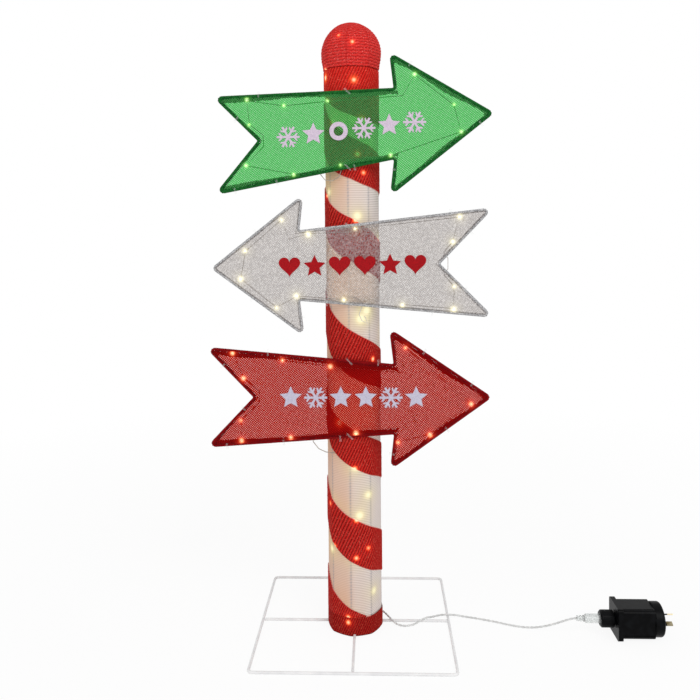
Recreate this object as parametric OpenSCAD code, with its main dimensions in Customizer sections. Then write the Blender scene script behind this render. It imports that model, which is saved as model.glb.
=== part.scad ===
// Lit signpost: a striped fabric post on a wire base, with three arrow signs and a plug-in supply.
// Millimetres, +Z up, the signs face -Y, and the origin is the middle of the base on the ground.

/* [Base] */
// Outside length of a side of the square base
base_side = 284; // [200:1:400]
// Thickness of the base's wire
base_wire = 4; // [3:0.5:6]
// Radius at which the base's wire is bent round its corners
base_bend = 6; // [6:1:20]

/* [Post] */
// Radius of the white sleeve over its ribs
post_r = 40; // [34:0.5:60]
// Height of the post up to the ball
post_h = 826; // [700:1:1000]
// How far the post stands in front of the base's side bar
post_forward = 4; // [0:0.5:8]
// Number of wires down the post's cage
cage_wires = 8; // [6:1:12]
// Number of hoops in the post's cage
cage_hoops = 7; // [4:1:9]
// Thickness of the cage's wire
cage_wire = 3; // [2:0.5:4]
// Turn of the first rib from the front, in degrees
rib_turn = -6.6; // [-20:0.1:20]
// Share of the radius by which the cloth dips between two ribs
cloth_dip = 0.035; // [0:0.005:0.07]
// Thickness of the post's cloth
cloth = 1; // [0.6:0.1:1.5]
// Height of the red hem round the post's foot
hem_h = 28; // [15:1:35]

/* [Ball] */
// Radius of the ball at its widest
ball_r = 45; // [42:0.5:60]
// Height of the ball's widest place over the post's top
ball_rise = 25; // [20:1:34]
// Slack between the ball's cover and the cage inside it
ball_slack = 0.9; // [0.8:0.1:2]
// Spacing of the rows of tinsel up the ball
row_pitch = 4.3; // [4:0.1:8]
// How far a row of tinsel stands out
row_depth = 0.5; // [0.2:0.1:0.8]

/* [Spiral band] */
// Thickness of the red band over the white sleeve
band_t = 0.9; // [0.5:0.1:1.5]
// How far the band climbs above an even winding on the post's left side
band_climb = 16; // [0:1:25]

/* [Signs] */
// Height of every arrow's head, from barb to barb
barb_span = 207; // [180:1:215]
// How far the barbs' corners stand back from the neck
barb_sweep = 6; // [0:0.5:12]
// Height of every arrow's shaft where it meets the head
neck_span = 102.5; // [70:0.5:120]
// Thickness of a sign's frame wire
sign_wire = 3; // [2:0.5:4]
// Radius of the bends in a sign's frame wire, at its middle
sign_bend = 3.5; // [3:0.5:6]
// Thickness of a sign's mesh
mesh_t = 0.8; // [0.5:0.1:1]
// Width of the doubled hem inside a sign's edge
sign_hem = 11; // [6:0.5:15]
// Spacing of the raised threads across a sign's mesh
thread_pitch = 8; // [6:0.5:12]

/* [Upper sign, points right] */
// Reach of its tail from the post's middle
upper_tail = 198.5; // [150:0.5:225]
// Where its head starts, from the post's middle
upper_neck = 61; // [50:1:90]
// Reach of its tip from the post's middle
upper_tip = 205; // [160:0.5:215]
// Height of its tail
upper_tail_w = 142.5; // [110:0.5:170]
// Depth of the notch in its tail
upper_notch = 64.5; // [40:0.5:90]
// Height of its middle at the post
upper_z = 734; // [720:1:745]
// Slope of its middle, in degrees
upper_slope = 6; // [-8:0.1:8]
// How far its head sits above the middle line
upper_lift = 1.5; // [-4:0.1:4]

/* [Middle sign, points left] */
// Reach of its tail from the post's middle
middle_tail = 204.5; // [150:0.5:225]
// Where its head starts, from the post's middle
middle_neck = 74; // [50:1:90]
// Reach of its tip from the post's middle
middle_tip = 203.5; // [160:0.5:215]
// Height of its tail
middle_tail_w = 158.5; // [110:0.5:170]
// Depth of the notch in its tail
middle_notch = 77.5; // [40:0.5:90]
// How far its middle lies below the upper sign's
middle_drop = 193.5; // [185:0.5:205]
// Slope of its middle, in degrees
middle_slope = -0.8; // [-4:0.1:4]
// How far its head sits above the middle line
middle_lift = 1.5; // [-4:0.1:4]

/* [Lower sign, points right] */
// Reach of its tail from the post's middle
lower_tail = 214.5; // [150:0.5:225]
// Where its head starts, from the post's middle
lower_neck = 58.5; // [50:0.5:90]
// Reach of its tip from the post's middle
lower_tip = 200.5; // [160:0.5:215]
// Height of its tail
lower_tail_w = 147.5; // [110:0.5:170]
// Depth of the notch in its tail
lower_notch = 70.5; // [40:0.5:90]
// How far its middle lies below the middle sign's
lower_drop = 189.5; // [180:0.5:205]
// Slope of its middle, in degrees
lower_slope = 0; // [-4:0.1:4]
// How far its head sits above the middle line
lower_lift = -3; // [-4:0.1:4]

/* [Lights] */
// Thickness of the light strings' wire
string_wire = 1.2; // [0.8:0.1:1.4]
// Radius of a lamp
lamp_r = 1.5; // [1.2:0.1:1.8]

/* [Cable ties] */
// Width of a tie's strap
tie_w = 2.5; // [1.5:0.1:3]
// Thickness of a tie's strap
tie_t = 0.7; // [0.5:0.1:1]

/* [Lead and plug-in supply] */
// Width of the lead
lead_d = 3; // [2.5:0.1:3.5]
// Diameter of the strain relief where the lead enters it
relief_d = 9; // [7:0.5:10]
// Length of the strain relief
relief_l = 11; // [9:0.5:13]
// Diameter of the clear connector
connector_d = 12.5; // [11:0.5:15]
// Length of the clear connector that shows
connector_l = 22; // [16:1:26]
// Diameter of the black screw collar
collar_d = 24; // [20:1:28]
// Length of the black screw collar
collar_l = 18.5; // [14:0.5:22]
// Number of grip flutes round the collar
collar_flutes = 24; // [12:1:30]
// Width and height of the supply's box
box_w = 42; // [36:1:44]
// Length of the supply's box, with its end plate
box_l = 53; // [44:1:60]
// Radius of the box's long edges
box_round = 6; // [3:0.5:10]
// Width and height of the box's end plate
plate_w = 46; // [45:1:47]
// Thickness of the box's end plate
plate_t = 7; // [4:0.5:9]
// Diameter of the round plug head
head_d = 48; // [47:1:52]
// Thickness of the round plug head
head_t = 14; // [10:0.5:18]
// Length of a plug pin outside the head
pin_l = 17; // [15:0.5:20]
// Width of a plug pin
pin_w = 6.35; // [5:0.05:7]
// Thickness of a plug pin
pin_t = 1.63; // [1.4:0.01:2]
// Spacing of the plug pins
pin_pitch = 13.7; // [12:0.1:16]
// Slope of each plug pin, in degrees
pin_slope = 30; // [0:1:45]

/* [Hidden] */
$fn = 32;
fit = 0.1;
clear = 0.25;
STEPS_PER_PANEL = 4;
BALL_STEPS_PER_PANEL = 3;
BALL_INSIDE_STEPS = 7;
WIRE_SIDES = 10;
BEAD_SIDES = 8;
BEND_STEPS = 3;

wire_z = base_wire / 2;
cage_r = post_r - cloth - fit - cage_wire / 2;
hoop_r = cage_r - cage_wire + 0.5;
cage_foot = base_wire + fit;
sleeve_foot = base_wire + clear;
string_r = hoop_r - cage_wire / 2 - string_wire - 1;
steps_per_turn = cage_wires * STEPS_PER_PANEL;
ball_z = post_h + ball_rise;
ball_low_r = (pow(ball_r - post_r, 2) + pow(ball_rise, 2)) / (2 * (ball_r - post_r));

// Height of the band's two edges at the front, for each time that it comes round
band_top = [38, 173, 303, 446, 609, 725, 880];
band_low = [-32, 107, 247, 378, 546, 664, 776];
band_start = -0.02;

bead_bore = (sign_wire / 2 + fit) / cos(180 / BEAD_SIDES);
bead_r = sign_wire / 2 + fit + mesh_t;
bead_out = bead_r / cos(180 / BEAD_SIDES);
sign_y = -post_forward - post_r - band_t - clear - bead_out;
mesh_back = sign_y - bead_r + 1.5 * mesh_t;
string_y = sign_y + 1.2;
behind_y = sign_y + bead_out + string_wire / 2 + clear;
lamp_depth = string_y - string_wire / 2 - mesh_back - fit;

middle_z = upper_z - middle_drop;
lower_z = middle_z - lower_drop;

// A sign is [side, tail, neck, tip, tail height, notch, middle height, slope, lift].
upper = [1, upper_tail, upper_neck, upper_tip, upper_tail_w, upper_notch, upper_z, upper_slope, upper_lift];
middle = [-1, middle_tail, middle_neck, middle_tip, middle_tail_w, middle_notch, middle_z, middle_slope,
    middle_lift];
lower = [1, lower_tail, lower_neck, lower_tip, lower_tail_w, lower_notch, lower_z, lower_slope, lower_lift];

// A lamp on a sign is [edge, share along it, distance inside it], and an edge starts at that corner.
// Corners run from the tail's top along the shaft, round the head and back to the notch. A place with
// a fourth value has no lamp: it only leads the string, inside the edge or crossing behind it.
INSIDE = 0;
BEHIND = 1;
upper_lamps = [[5, 0.545, 7.9], [6, 0.628, 9.3], [6, 1, 12, INSIDE], [7, 0, 12, INSIDE], [7, 0.268, 9],
    [0, 0.191, 8.5], [0, 0.396, 18.1], [0, 0.64, 14.7], [0, 1.05, 11.9, INSIDE], [2, 0.278, 9.8],
    [2, 0.68, 19.3], [3, 0.282, 9.2], [5, 0.01, 7], [5, 0.194, 12.3, INSIDE], [5, 0.258, 12.4, INSIDE],
    [5, 0.287, 7.5]];
middle_lamps = [[5, 0.223, 7.4], [5, -0.02, 7], [3, 0.654, 10.7], [3, 0.263, 13.3], [2, 0.681, 12.2],
    [2, 0.281, 9.5], [0, 1.06, 11.9, INSIDE], [0, 0.961, 7.1], [0, 0.787, 10.4, INSIDE],
    [0, 0.744, 11.5, INSIDE], [0, 0.719, 7.6], [0, 0.186, 8.6], [7, 0.313, 9.4], [7, 0.14, 8, INSIDE],
    [7, 0.12, 5, BEHIND], [7, 0.12, -2, BEHIND], [6, 0.88, -2, BEHIND], [6, 0.88, 5, BEHIND],
    [6, 0.86, 8, INSIDE], [6, 0.669, 9.5], [5, 0.785, 8.5], [5, 0.523, 8]];
lower_lamps = [[5, 0.543, 7.1], [5, 0.804, 7.1], [6, 0.639, 10.2], [6, 1, 12, INSIDE], [7, 0, 12, INSIDE],
    [7, 0.295, 9.8], [0, 0.157, 7], [0, 0.419, 10], [0, 0.671, 12], [0, 1.05, 12, INSIDE], [2, 0.205, 10.8],
    [3, 0.17, 10.4], [3, 0.571, 8.9], [4, 0.806, 8.2], [5, -0.03, 9, INSIDE], [5, 0.194, 7]];

// A tie on a sign is [edge, share along it].
upper_ties = [[0, 0.259], [2, 0.204], [3, 0.132], [4, 0.741], [5, 0.214], [5, 0.643], [5, 0.876],
    [7, 0.469]];
middle_ties = [[0, 0.225], [0, 0.903], [2, 0.514], [3, 0.439], [4, 0.562], [5, 0.136], [5, 0.678],
    [6, 0.536], [7, 0.557]];
lower_ties = [[0, 0.341], [0, 0.922], [2, 0.345], [2, 0.802], [3, 0.44], [4, 0.476], [5, 0.281],
    [5, 0.581], [5, 0.882], [6, 0.794], [7, 0.618]];

// Each light string leaves the post at [angle from the front, height], and hangs in a small loop
// through [x, y from the sign's middle plane, height over the sign's lower edge].
upper_exit = [-24, upper_z - 44];
upper_loop = [[-14, 3.7, 8], [-14, 3.9, 0], [-17, 4.5, -8], [-27, 5, -12], [-37, 5, -9], [-43, 4.6, -1],
    [-46, 4, 7]];
middle_exit = [26, middle_z - 74.5];
middle_loop = [[22, 5, -24], [14, 4.6, -21], [10, 5.4, -12], [14, 4.6, -2], [14, 4, 6], [5, 3, 12],
    [-5, 2, 12]];
lower_exit = [-46, lower_z - 85];
lower_loop = [[-40, 7, -20], [-50, 5, -14], [-58, 4.6, -3], [-57, 4, 8]];

// Lamps round the post as [angle from the front, height].
post_lamps_at = [[-12, 20], [-150, 44], [46, 62], [150, 84], [4, 116], [-56, 122], [-150, 126], [33, 128],
    [160, 166], [12, 177], [-57, 189], [-130, 196], [33, 206], [150, 226], [3, 248], [-120, 268],
    [-31, 311], [120, 322], [46, 338], [160, 362], [-150, 380], [46, 404], [100, 440], [-104, 452],
    [19, 463], [33, 475], [166, 500], [-150, 520], [77, 580], [14, 611], [150, 630], [-57, 647],
    [-110, 660], [28, 674], [14, 700], [160, 712], [-45, 745], [24, 752], [120, 780], [7, 806], [-67, 814]];
ball_lamps_at = [[150, 845], [5, 858], [-120, 864], [-25, 869], [100, 872]];

// The lead's route over the ground, from inside the post to the strain relief.
lead_route = [[29.1, 11.5, 9.4], [32.7, 13.4, 9.2], [36.2, 15.2, 8.9], [39, 16.6, 8.4], [42, 16.2, 7.7],
    [45.3, 12.5, 7], [48.3, 7, 6.6], [51.3, 1.2, 6.4], [54.3, -3.6, 5.6], [58, -8, 4], [63, -11.5, 2.2],
    [69, -14, 1.7], [77, -15, 1.7], [87, -12.5, 2.6], [95, -8, 4.6], [102, -3, 6.1], [108, 1.5, 6.1],
    [114, 5.5, 4.8], [122, 9.5, 4.6], [131, 10.5, 5.8], [140, 10.5, 6.1], [149, 11.5, 5.4],
    [157, 13.5, 3.4], [166, 13.5, 1.8], [180, 10, 1.7], [193, 5.5, 1.7], [207, 0.5, 1.7], [222, -6, 1.7],
    [234, -11, 1.7], [246, -15, 1.9], [258, -18.5, 3], [269, -21.5, 5.2], [280, -24.5, 8.6],
    [291, -27.2, 13], [301, -29.4, 17.6], [311, -30.7, 21.6], [318, -31, 23.5], [323, -31, 24]];
LEAD_SMOOTH = 2;
lead_last = lead_route[len(lead_route) - 1];

supply_y = lead_last[1];
supply_z = head_d / 2;
relief_x = lead_last[0];
connector_x = relief_x + relief_l;
collar_x = connector_x + connector_l;
box_x = collar_x + collar_l + 2;
head_x = box_x + box_l;
pin_x = head_x + head_t;
sleeve_share = 0.5;

WIRE_COLOR = [0.93, 0.93, 0.92];
RED = [0.72, 0.05, 0.07];
SLEEVE_COLOR = [0.95, 0.94, 0.91];
BLACK = [0.05, 0.05, 0.06];
CLEAR = [0.85, 0.87, 0.88];
LAMP_COLOR = [1, 0.85, 0.55];
STRING_COLOR = [0.75, 0.75, 0.72];

// Geometry helpers

function unit(v) = v / norm(v);
function mix(a, b, t) = a + (b - a) * t;
function wrap(i, n) = (i % n + n) % n;

// Value of a list at a place between its entries.
function along(list, u) =
    let (n = len(list) - 1, i = min(max(floor(u), 0), n - 1)) mix(list[i], list[i + 1], u - i);

// Share of the radius that the cloth keeps at an angle from the front.
function rib_share(a) =
    let (pitch = 360 / cage_wires, w = wrap((a - rib_turn) / pitch, 1) * 2 - 1) 1 - cloth_dip * (1 - w * w);
function round_post(a, r, z) = [r * rib_share(a) * sin(a), -post_forward - r * rib_share(a) * cos(a), z];
function post_outline(r) = [for (i = [0:steps_per_turn - 1])
    let (p = round_post(rib_turn + i * 360 / steps_per_turn, r, 0)) [p[0], p[1]]];

// Radius of the ball's outside at a height.
function ball_at(z) = z >= ball_z
    ? sqrt(max(0, pow(ball_r, 2) - pow(z - ball_z, 2)))
    : ball_r - ball_low_r + sqrt(pow(ball_low_r, 2) - pow(ball_z - z, 2));

// Points of a smooth line through a route, with n steps between two of its points.
function smooth_route(p, n) = [
    for (i = [0:len(p) - 2], k = [0:n - 1])
        let (a = p[max(i - 1, 0)], b = p[i], c = p[i + 1], d = p[min(i + 2, len(p) - 1)], t = k / n)
            0.5 * (2 * b + (c - a) * t + (2 * a - 5 * b + 4 * c - d) * t * t
                + (3 * b - a - 3 * c + d) * t * t * t),
    p[len(p) - 1]
];

function directions(p) = [for (i = [0:len(p) - 1]) unit(p[min(i + 1, len(p) - 1)] - p[max(i - 1, 0)])];
function across(n, t) = unit(n - (n * t) * t);
function first_across(t) = across(abs(t[2]) < 0.8 ? [0, 0, 1] : [0, 1, 0], t);

// Rings of points round a line, each turned as little as it can be from the one before.
function rings(p, r, sides) = let (t = directions(p)) [
    for (i = 0, n = first_across(t[0]); i < len(p); i = i + 1, n = i < len(p) ? across(n, t[i]) : n)
        let (m = cross(t[i], n))
            [for (k = [0:sides - 1]) p[i] + r * (cos(360 * k / sides) * n + sin(360 * k / sides) * m)]
];

module tube(p, r, sides = 8) {
    ring = rings(p, r, sides);
    n = len(ring);
    points = [for (loop = ring) each loop];
    sides_of = [for (i = [0:n - 2], k = [0:sides - 1])
        let (a = i * sides + k, b = i * sides + (k + 1) % sides) [a, a + sides, b + sides, b]];
    ends = [[for (k = [0:sides - 1]) k], [for (k = [sides - 1:-1:0]) (n - 1) * sides + k]];
    polyhedron(points, concat(sides_of, ends), convexity = 8);
}

// A round tube along a closed flat outline in XY, with its middle on Z = 0.
module loop_tube(p, r, sides) {
    n = len(p);
    points = [for (i = [0:n - 1])
        let (a = unit(p[i] - p[wrap(i - 1, n)]), b = unit(p[(i + 1) % n] - p[i]),
            out = [a[1] + b[1], -a[0] - b[0]] / (1 + a * b))
            for (k = [0:sides - 1]) let (t = 360 * k / sides)
                [p[i][0] + out[0] * r * cos(t), p[i][1] + out[1] * r * cos(t), r * sin(t)]];
    walls = [for (i = [0:n - 1], k = [0:sides - 1])
        let (a = i * sides, b = (i + 1) % n * sides, c = (k + 1) % sides) [a + k, a + c, b + c, b + k]];
    polyhedron(points, walls, convexity = 12);
}

// A round wire along X, from a to b.
module wire(a, b, r) {
    d = b - a;
    turn = atan2(d[1], d[0]);
    translate([a[0], a[1], 0]) rotate([0, 0, turn]) rotate([0, 90, 0]) cylinder(h = norm(d), r = r);
}

// A wire bent flat round the corners of a closed outline, which runs clockwise or anticlockwise.
module bent_wire(corners, bend, r) {
    n = len(corners);
    dirs = [for (i = [0:n - 1]) unit(corners[(i + 1) % n] - corners[i])];
    turns = [for (i = [0:n - 1])
        let (a = dirs[wrap(i - 1, n)], b = dirs[i]) atan2(a[0] * b[1] - a[1] * b[0], a * b)];
    cuts = [for (turn = turns) bend * tan(abs(turn) / 2)];
    for (i = [0:n - 1]) {
        j = (i + 1) % n;
        wire(corners[i] + dirs[i] * cuts[i], corners[j] - dirs[i] * cuts[j], r);
        from = dirs[wrap(i - 1, n)];
        left = sign(turns[i]);
        middle = corners[i] - from * cuts[i] + left * bend * [-from[1], from[0]];
        start = atan2(from[1], from[0]) - left * 90;
        translate([middle[0], middle[1], 0])
            rotate([0, 0, left > 0 ? start : start + turns[i]])
                rotate_extrude(angle = abs(turns[i])) translate([bend, 0]) circle(r);
    }
}

// Outline corners moved inwards by d. turned is 1 for a clockwise outline and -1 for the other.
function inward(p, i, turned) =
    let (n = len(p), e = unit(p[(i + 1) % n] - p[i])) turned * [e[1], -e[0]];
function inset(p, d, turned) = [for (i = [0:len(p) - 1])
    let (a = inward(p, wrap(i - 1, len(p)), turned), b = inward(p, i, turned)) p[i] + (a + b) * d / (1 + a * b)];

// An outline with each corner rounded to radius r, in a few short steps.
function rounded(p, r, steps = 4) = [
    for (i = [0:len(p) - 1])
        let (
            n = len(p), a = unit(p[i] - p[wrap(i - 1, n)]), b = unit(p[(i + 1) % n] - p[i]),
            turn = atan2(a[0] * b[1] - a[1] * b[0], a * b), left = sign(turn),
            middle = p[i] - a * r * tan(abs(turn) / 2) + left * r * [-a[1], a[0]]
        )
            for (k = [0:steps])
                let (t = turn * k / steps, o = -left * r * [-a[1], a[0]])
                    middle + [o[0] * cos(t) - o[1] * sin(t), o[0] * sin(t) + o[1] * cos(t)]
];

// Base

module base_ring() {
    half = base_side / 2 - base_wire / 2;
    color(WIRE_COLOR) translate([0, 0, wire_z])
        bent_wire([[-half, -half], [half, -half], [half, half], [-half, half]], base_bend, base_wire / 2);
}

module base_side_bar() {
    reach = base_side / 2 - base_wire;
    color(WIRE_COLOR) translate([0, 0, wire_z]) wire([-reach, 0], [reach, 0], base_wire / 2);
}

module base_front_bars() {
    reach = base_side / 2 - base_wire;
    color(WIRE_COLOR) for (side = [-1, 1])
        translate([0, 0, wire_z]) wire([0, side * base_wire / 2], [0, side * reach], base_wire / 2);
}

// Post

module hoop(z) {
    translate([0, -post_forward, z]) rotate_extrude() translate([hoop_r, 0]) circle(d = cage_wire);
}

module post_cage() {
    first = cage_foot + cage_wire / 2;
    last = post_h - clear - cage_wire / 2;
    color(WIRE_COLOR) {
        for (i = [0:cage_wires - 1]) {
            a = rib_turn + i * 360 / cage_wires;
            translate([cage_r * sin(a), -post_forward - cage_r * cos(a), cage_foot])
                cylinder(h = post_h - clear - cage_foot, d = cage_wire);
        }
        for (i = [0:cage_hoops - 1]) hoop(mix(first, last, i / (cage_hoops - 1)));
    }
}

module post_skin(outer, inner, z0, z1) {
    translate([0, 0, z0]) linear_extrude(z1 - z0) difference() {
        polygon(post_outline(outer));
        polygon(post_outline(inner));
    }
}

// The holes through which a sign's light string and the lead pass.
module exit_hole(at, d) {
    translate([0, -post_forward, at[1]]) rotate([0, 0, at[0]]) rotate([90, 0, 0])
        translate([0, 0, post_r - 8]) cylinder(h = 14, d = d);
}

module string_holes() {
    for (at = [upper_exit, middle_exit, lower_exit]) exit_hole(at, string_wire + 2 * clear);
}

module post_sleeve() {
    color(SLEEVE_COLOR) difference() {
        post_skin(post_r, post_r - cloth, sleeve_foot, post_h - clear);
        string_holes();
        all_post_ties(clear);
        lead_hole();
    }
}

module lead_hole() {
    start = lead_route[0];
    tube([start - [4, 2, 0], start, lead_route[1], lead_route[2], lead_route[3], lead_route[4]],
        lead_d / 2 + clear, 12);
}

module foot_hem() {
    slot = base_wire + 2 * clear;
    reach = 2 * post_r;
    color(RED) difference() {
        post_skin(post_r + band_t, post_r + fit, 0, hem_h);
        translate([-reach, -slot / 2, -1]) cube([2 * reach, slot, slot + 1]);
        translate([-slot / 2, -reach, -1]) cube([slot, 2 * reach, slot + 1]);
        lead_hole();
    }
}

function climb(a) = let (w = wrap(a, 360)) w > 180 ? band_climb * pow(sin(w), 4) : 0;
function band_hi(u) = min(post_h - clear, along(band_top, u) + climb(-360 * u));
function band_lo(u) = max(hem_h + clear, along(band_low, u) + climb(-360 * u));

// The band as a list of rings of four points, from its start to where it runs out under the ball.
module spiral_band() {
    step = 1 / steps_per_turn;
    offset_turn = rib_turn / 360;
    first = ceil((band_start + offset_turn) / step);
    places = [for (i = [first:first + 8 * steps_per_turn])
        let (u = i * step - offset_turn) if (u < len(band_top) - 1 + 0.5 && band_hi(u) - band_lo(u) > 1.5) u];
    loops = [for (u = places)
        let (a = -360 * u) [
            round_post(a, post_r + fit, band_lo(u)), round_post(a, post_r + band_t, band_lo(u)),
            round_post(a, post_r + band_t, band_hi(u)), round_post(a, post_r + fit, band_hi(u))
        ]];
    n = len(loops);
    points = [for (loop = loops) each loop];
    walls = [for (i = [0:n - 2], k = [0:3])
        let (a = 4 * i + k, b = 4 * i + (k + 1) % 4) [a, b, b + 4, a + 4]];
    color(RED) difference() {
        polyhedron(points, concat([[3, 2, 1, 0]], walls, [[for (k = [0:3]) 4 * (n - 1) + k]]), convexity = 12);
        string_holes();
        all_post_ties(clear);
    }
}

// Lamps and light strings

// A lamp that points along X from its base to its rounded tip.
module lamp(length) {
    straight = max(0.2, length - lamp_r);
    rotate([0, 90, 0]) {
        cylinder(h = straight, r = lamp_r);
        intersection() {
            translate([0, 0, straight]) sphere(r = lamp_r);
            cylinder(h = length, r = lamp_r + 1);
        }
    }
}

function wall_at(z) = z < post_h ? post_r : ball_at(z);
function lamp_base(z) = wall_at(z) - (post_r - string_r) + string_wire / 2 + fit;
function lamp_tip(z) = (wall_at(z) - cloth) * (1 - cloth_dip) - fit - (z < post_h ? 0 : row_depth + 2);

module post_lamps() {
    color(LAMP_COLOR) for (at = concat(post_lamps_at, ball_lamps_at))
        translate([0, -post_forward, at[1]]) rotate([0, 0, at[0] - 90])
            translate([lamp_base(at[1]), 0, 0]) lamp(lamp_tip(at[1]) - lamp_base(at[1]));
}

// Points from one lamp to the next round the inside of the post, no more than 50 degrees apart.
function shorter(a) = wrap(a + 180, 360) - 180;
function string_points(at) = [
    for (i = [0:len(at) - 2])
        let (turn = shorter(at[i + 1][0] - at[i][0]), n = ceil(abs(turn) / 50))
            for (k = [0:max(n, 1) - 1])
                let (t = k / max(n, 1), a = at[i][0] + turn * t, z = mix(at[i][1], at[i + 1][1], t),
                    r = wall_at(z) - (post_r - string_r))
                    [r * sin(a), -post_forward - r * cos(a), z],
    let (last = at[len(at) - 1], r = wall_at(last[1]) - (post_r - string_r))
        [r * sin(last[0]), -post_forward - r * cos(last[0]), last[1]]
];

module post_light_string() {
    color(STRING_COLOR)
        tube(string_points(concat([[114, 12]], post_lamps_at, ball_lamps_at)), string_wire / 2, 6);
}

// Ball

// The meridians are arcs over the widest place and lean in straight below it.
module ball_cage() {
    wall = row_depth + cloth + ball_slack + cage_wire / 2;
    r_up = ball_r - wall;
    drop = ball_rise - 2;
    r_low = ball_at(ball_z - drop) * (1 - cloth_dip) - wall;
    color(WIRE_COLOR) translate([0, -post_forward, ball_z]) {
        for (i = [0:cage_wires - 1]) rotate([0, 0, rib_turn + 360 * i / cage_wires - 90]) {
            rotate([90, 0, 0]) rotate_extrude(angle = 86) translate([r_up, 0]) circle(d = cage_wire);
            translate([r_up, 0, 0.5]) rotate([0, 180 + atan2(r_up - r_low, drop), 0])
                cylinder(h = drop, d = cage_wire);
        }
        rotate_extrude() translate([r_up - cage_wire + 0.5, 0]) circle(d = cage_wire);
        translate([0, 0, r_up - cage_wire / 2]) cylinder(h = cage_wire, d = 4 * cage_wire);
    }
}

// One ring of the ball's cover, in from its outside by d.
function ball_ring(z, d) = [for (k = [0:ball_steps - 1])
    round_post(rib_turn + k * 360 / ball_steps, ball_at(z) - d, z)];
ball_steps = cage_wires * BALL_STEPS_PER_PANEL;

// The ball's cover, ribbed like the post and with a row of tinsel at each step up.
module ball_cover() {
    arc = ball_rise + ball_r * 90 * PI / 180;
    rows = floor(arc / row_pitch);
    outer = [for (i = [0:2 * rows - 1])
        let (s = i * arc / (2 * rows), z = s < ball_rise ? post_h + s
            : ball_z + ball_r * sin((s - ball_rise) / ball_r * 180 / PI))
            ball_ring(z, i % 2 == 0 ? row_depth : 0)];
    wall = row_depth + cloth;
    inner = [for (i = [BALL_INSIDE_STEPS:-1:0])
        ball_ring(mix(post_h, ball_z + ball_r * 0.93, sin(90 * i / BALL_INSIDE_STEPS)), wall)];
    n = ball_steps;
    loops = concat(outer, inner);
    count = len(loops);
    top = count * n;
    points = concat([for (loop = loops) each loop],
        [[0, -post_forward, ball_z + ball_r], [0, -post_forward, ball_z + ball_r - wall]]);
    walls = [for (i = [0:count - 1], k = [0:n - 1])
        if (i != len(outer) - 1)
            let (a = i * n, b = (i + 1) % count * n, c = (k + 1) % n) [a + k, b + k, b + c, a + c]];
    last = (len(outer) - 1) * n;
    caps = [for (k = [0:n - 1]) let (c = (k + 1) % n) each [
        [last + k, top, last + c], [last + n + k, last + n + c, top + 1]]];
    color(RED) polyhedron(points, concat(walls, caps), convexity = 4);
}

// Signs

function arrow(s) = let (side = s[0], half_tail = s[4] / 2, lift = s[8], rise = tan(s[7])) [
    for (p = [
        [-s[1], half_tail], [s[2], neck_span / 2 + lift], [s[2] - barb_sweep, barb_span / 2 + lift], [s[3], 0],
        [s[2] - barb_sweep, lift - barb_span / 2], [s[2], lift - neck_span / 2], [-s[1], -half_tail], [s[5] - s[1], 0]
    ]) [side * p[0], s[6] + p[1] + p[0] * rise]
];

// Stands a flat shape up in the signs' plane, with its own Z pointing to the back.
module stand_up(y) {
    translate([0, y, 0]) rotate([90, 0, 0]) mirror([0, 0, 1]) children();
}

// The bent middle line of a sign's frame wire.
function wire_line(s) = rounded(inset(arrow(s), bead_r, s[0]), sign_bend, BEND_STEPS);

module sign_frame(s) {
    color(WIRE_COLOR) stand_up(sign_y) loop_tube(wire_line(s), sign_wire / 2, WIRE_SIDES);
}

// The mesh in front of the frame, its raised threads, the doubled hem and the bead round the wire.
module sign_mesh(s, ties, tint) {
    outline = arrow(s);
    middle_line = wire_line(s);
    cloth_edge = rounded(inset(outline, bead_r + mesh_t, s[0]), sign_bend);
    hem_edge = inset(outline, bead_r + sign_hem, s[0]);
    low = min([for (p = outline) p[1]]);
    high = max([for (p = outline) p[1]]);
    reach = max(s[1], s[3]);
    color(tint) difference() {
        union() {
            stand_up(sign_y - bead_r) linear_extrude(mesh_t) polygon(cloth_edge);
            stand_up(sign_y - bead_r + mesh_t) linear_extrude(mesh_t / 2) difference() {
                polygon(cloth_edge);
                polygon(hem_edge);
            }
            stand_up(sign_y - bead_r - mesh_t / 4) linear_extrude(mesh_t / 2) intersection() {
                polygon(hem_edge);
                for (z = [low:thread_pitch:high]) translate([-reach, z]) square([2 * reach, 1]);
            }
            stand_up(sign_y) loop_tube(middle_line, bead_out, BEAD_SIDES);
        }
        stand_up(sign_y) loop_tube(middle_line, bead_bore, BEAD_SIDES);
        for (at = ties) tie_slot(s, at);
        for (on_top = [false, true]) post_tie(s, on_top, clear / 2);
    }
}

// A place on a sign, from an edge, a share along it and a distance inside it.
function sign_place(s, at) = let (
    p = arrow(s), a = p[at[0]], b = p[(at[0] + 1) % len(p)]
) mix(a, b, at[1]) + inward(p, at[0], s[0]) * at[2];

module sign_lamps(s, places) {
    color(LAMP_COLOR) for (at = places) if (len(at) == 3) {
        p = sign_place(s, at);
        translate([p[0], mesh_back + fit + lamp_depth, p[1]]) rotate([0, 0, -90]) lamp(lamp_depth);
    }
}

// Height of a sign's lower edge where a loop hangs below it.
function lower_edge(s, x) = let (p = arrow(s), a = p[5], b = p[6])
    mix(a[1], b[1], (x - a[0]) / (b[0] - a[0]));

module sign_string(s, exit, loop, places, extra = []) {
    start = [for (r = [string_r + 3, post_r + 3])
        [r * sin(exit[0]), -post_forward - r * cos(exit[0]), exit[1]]];
    hang = [for (p = loop) [p[0], sign_y + p[1], lower_edge(s, p[0]) + p[2]]];
    lit = [for (at = places) let (p = sign_place(s, at), y = at[3] == BEHIND ? behind_y : string_y)
        [p[0], y, p[1]]];
    color(STRING_COLOR) tube(concat(start, hang, lit), string_wire / 2, 6);
}

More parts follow.
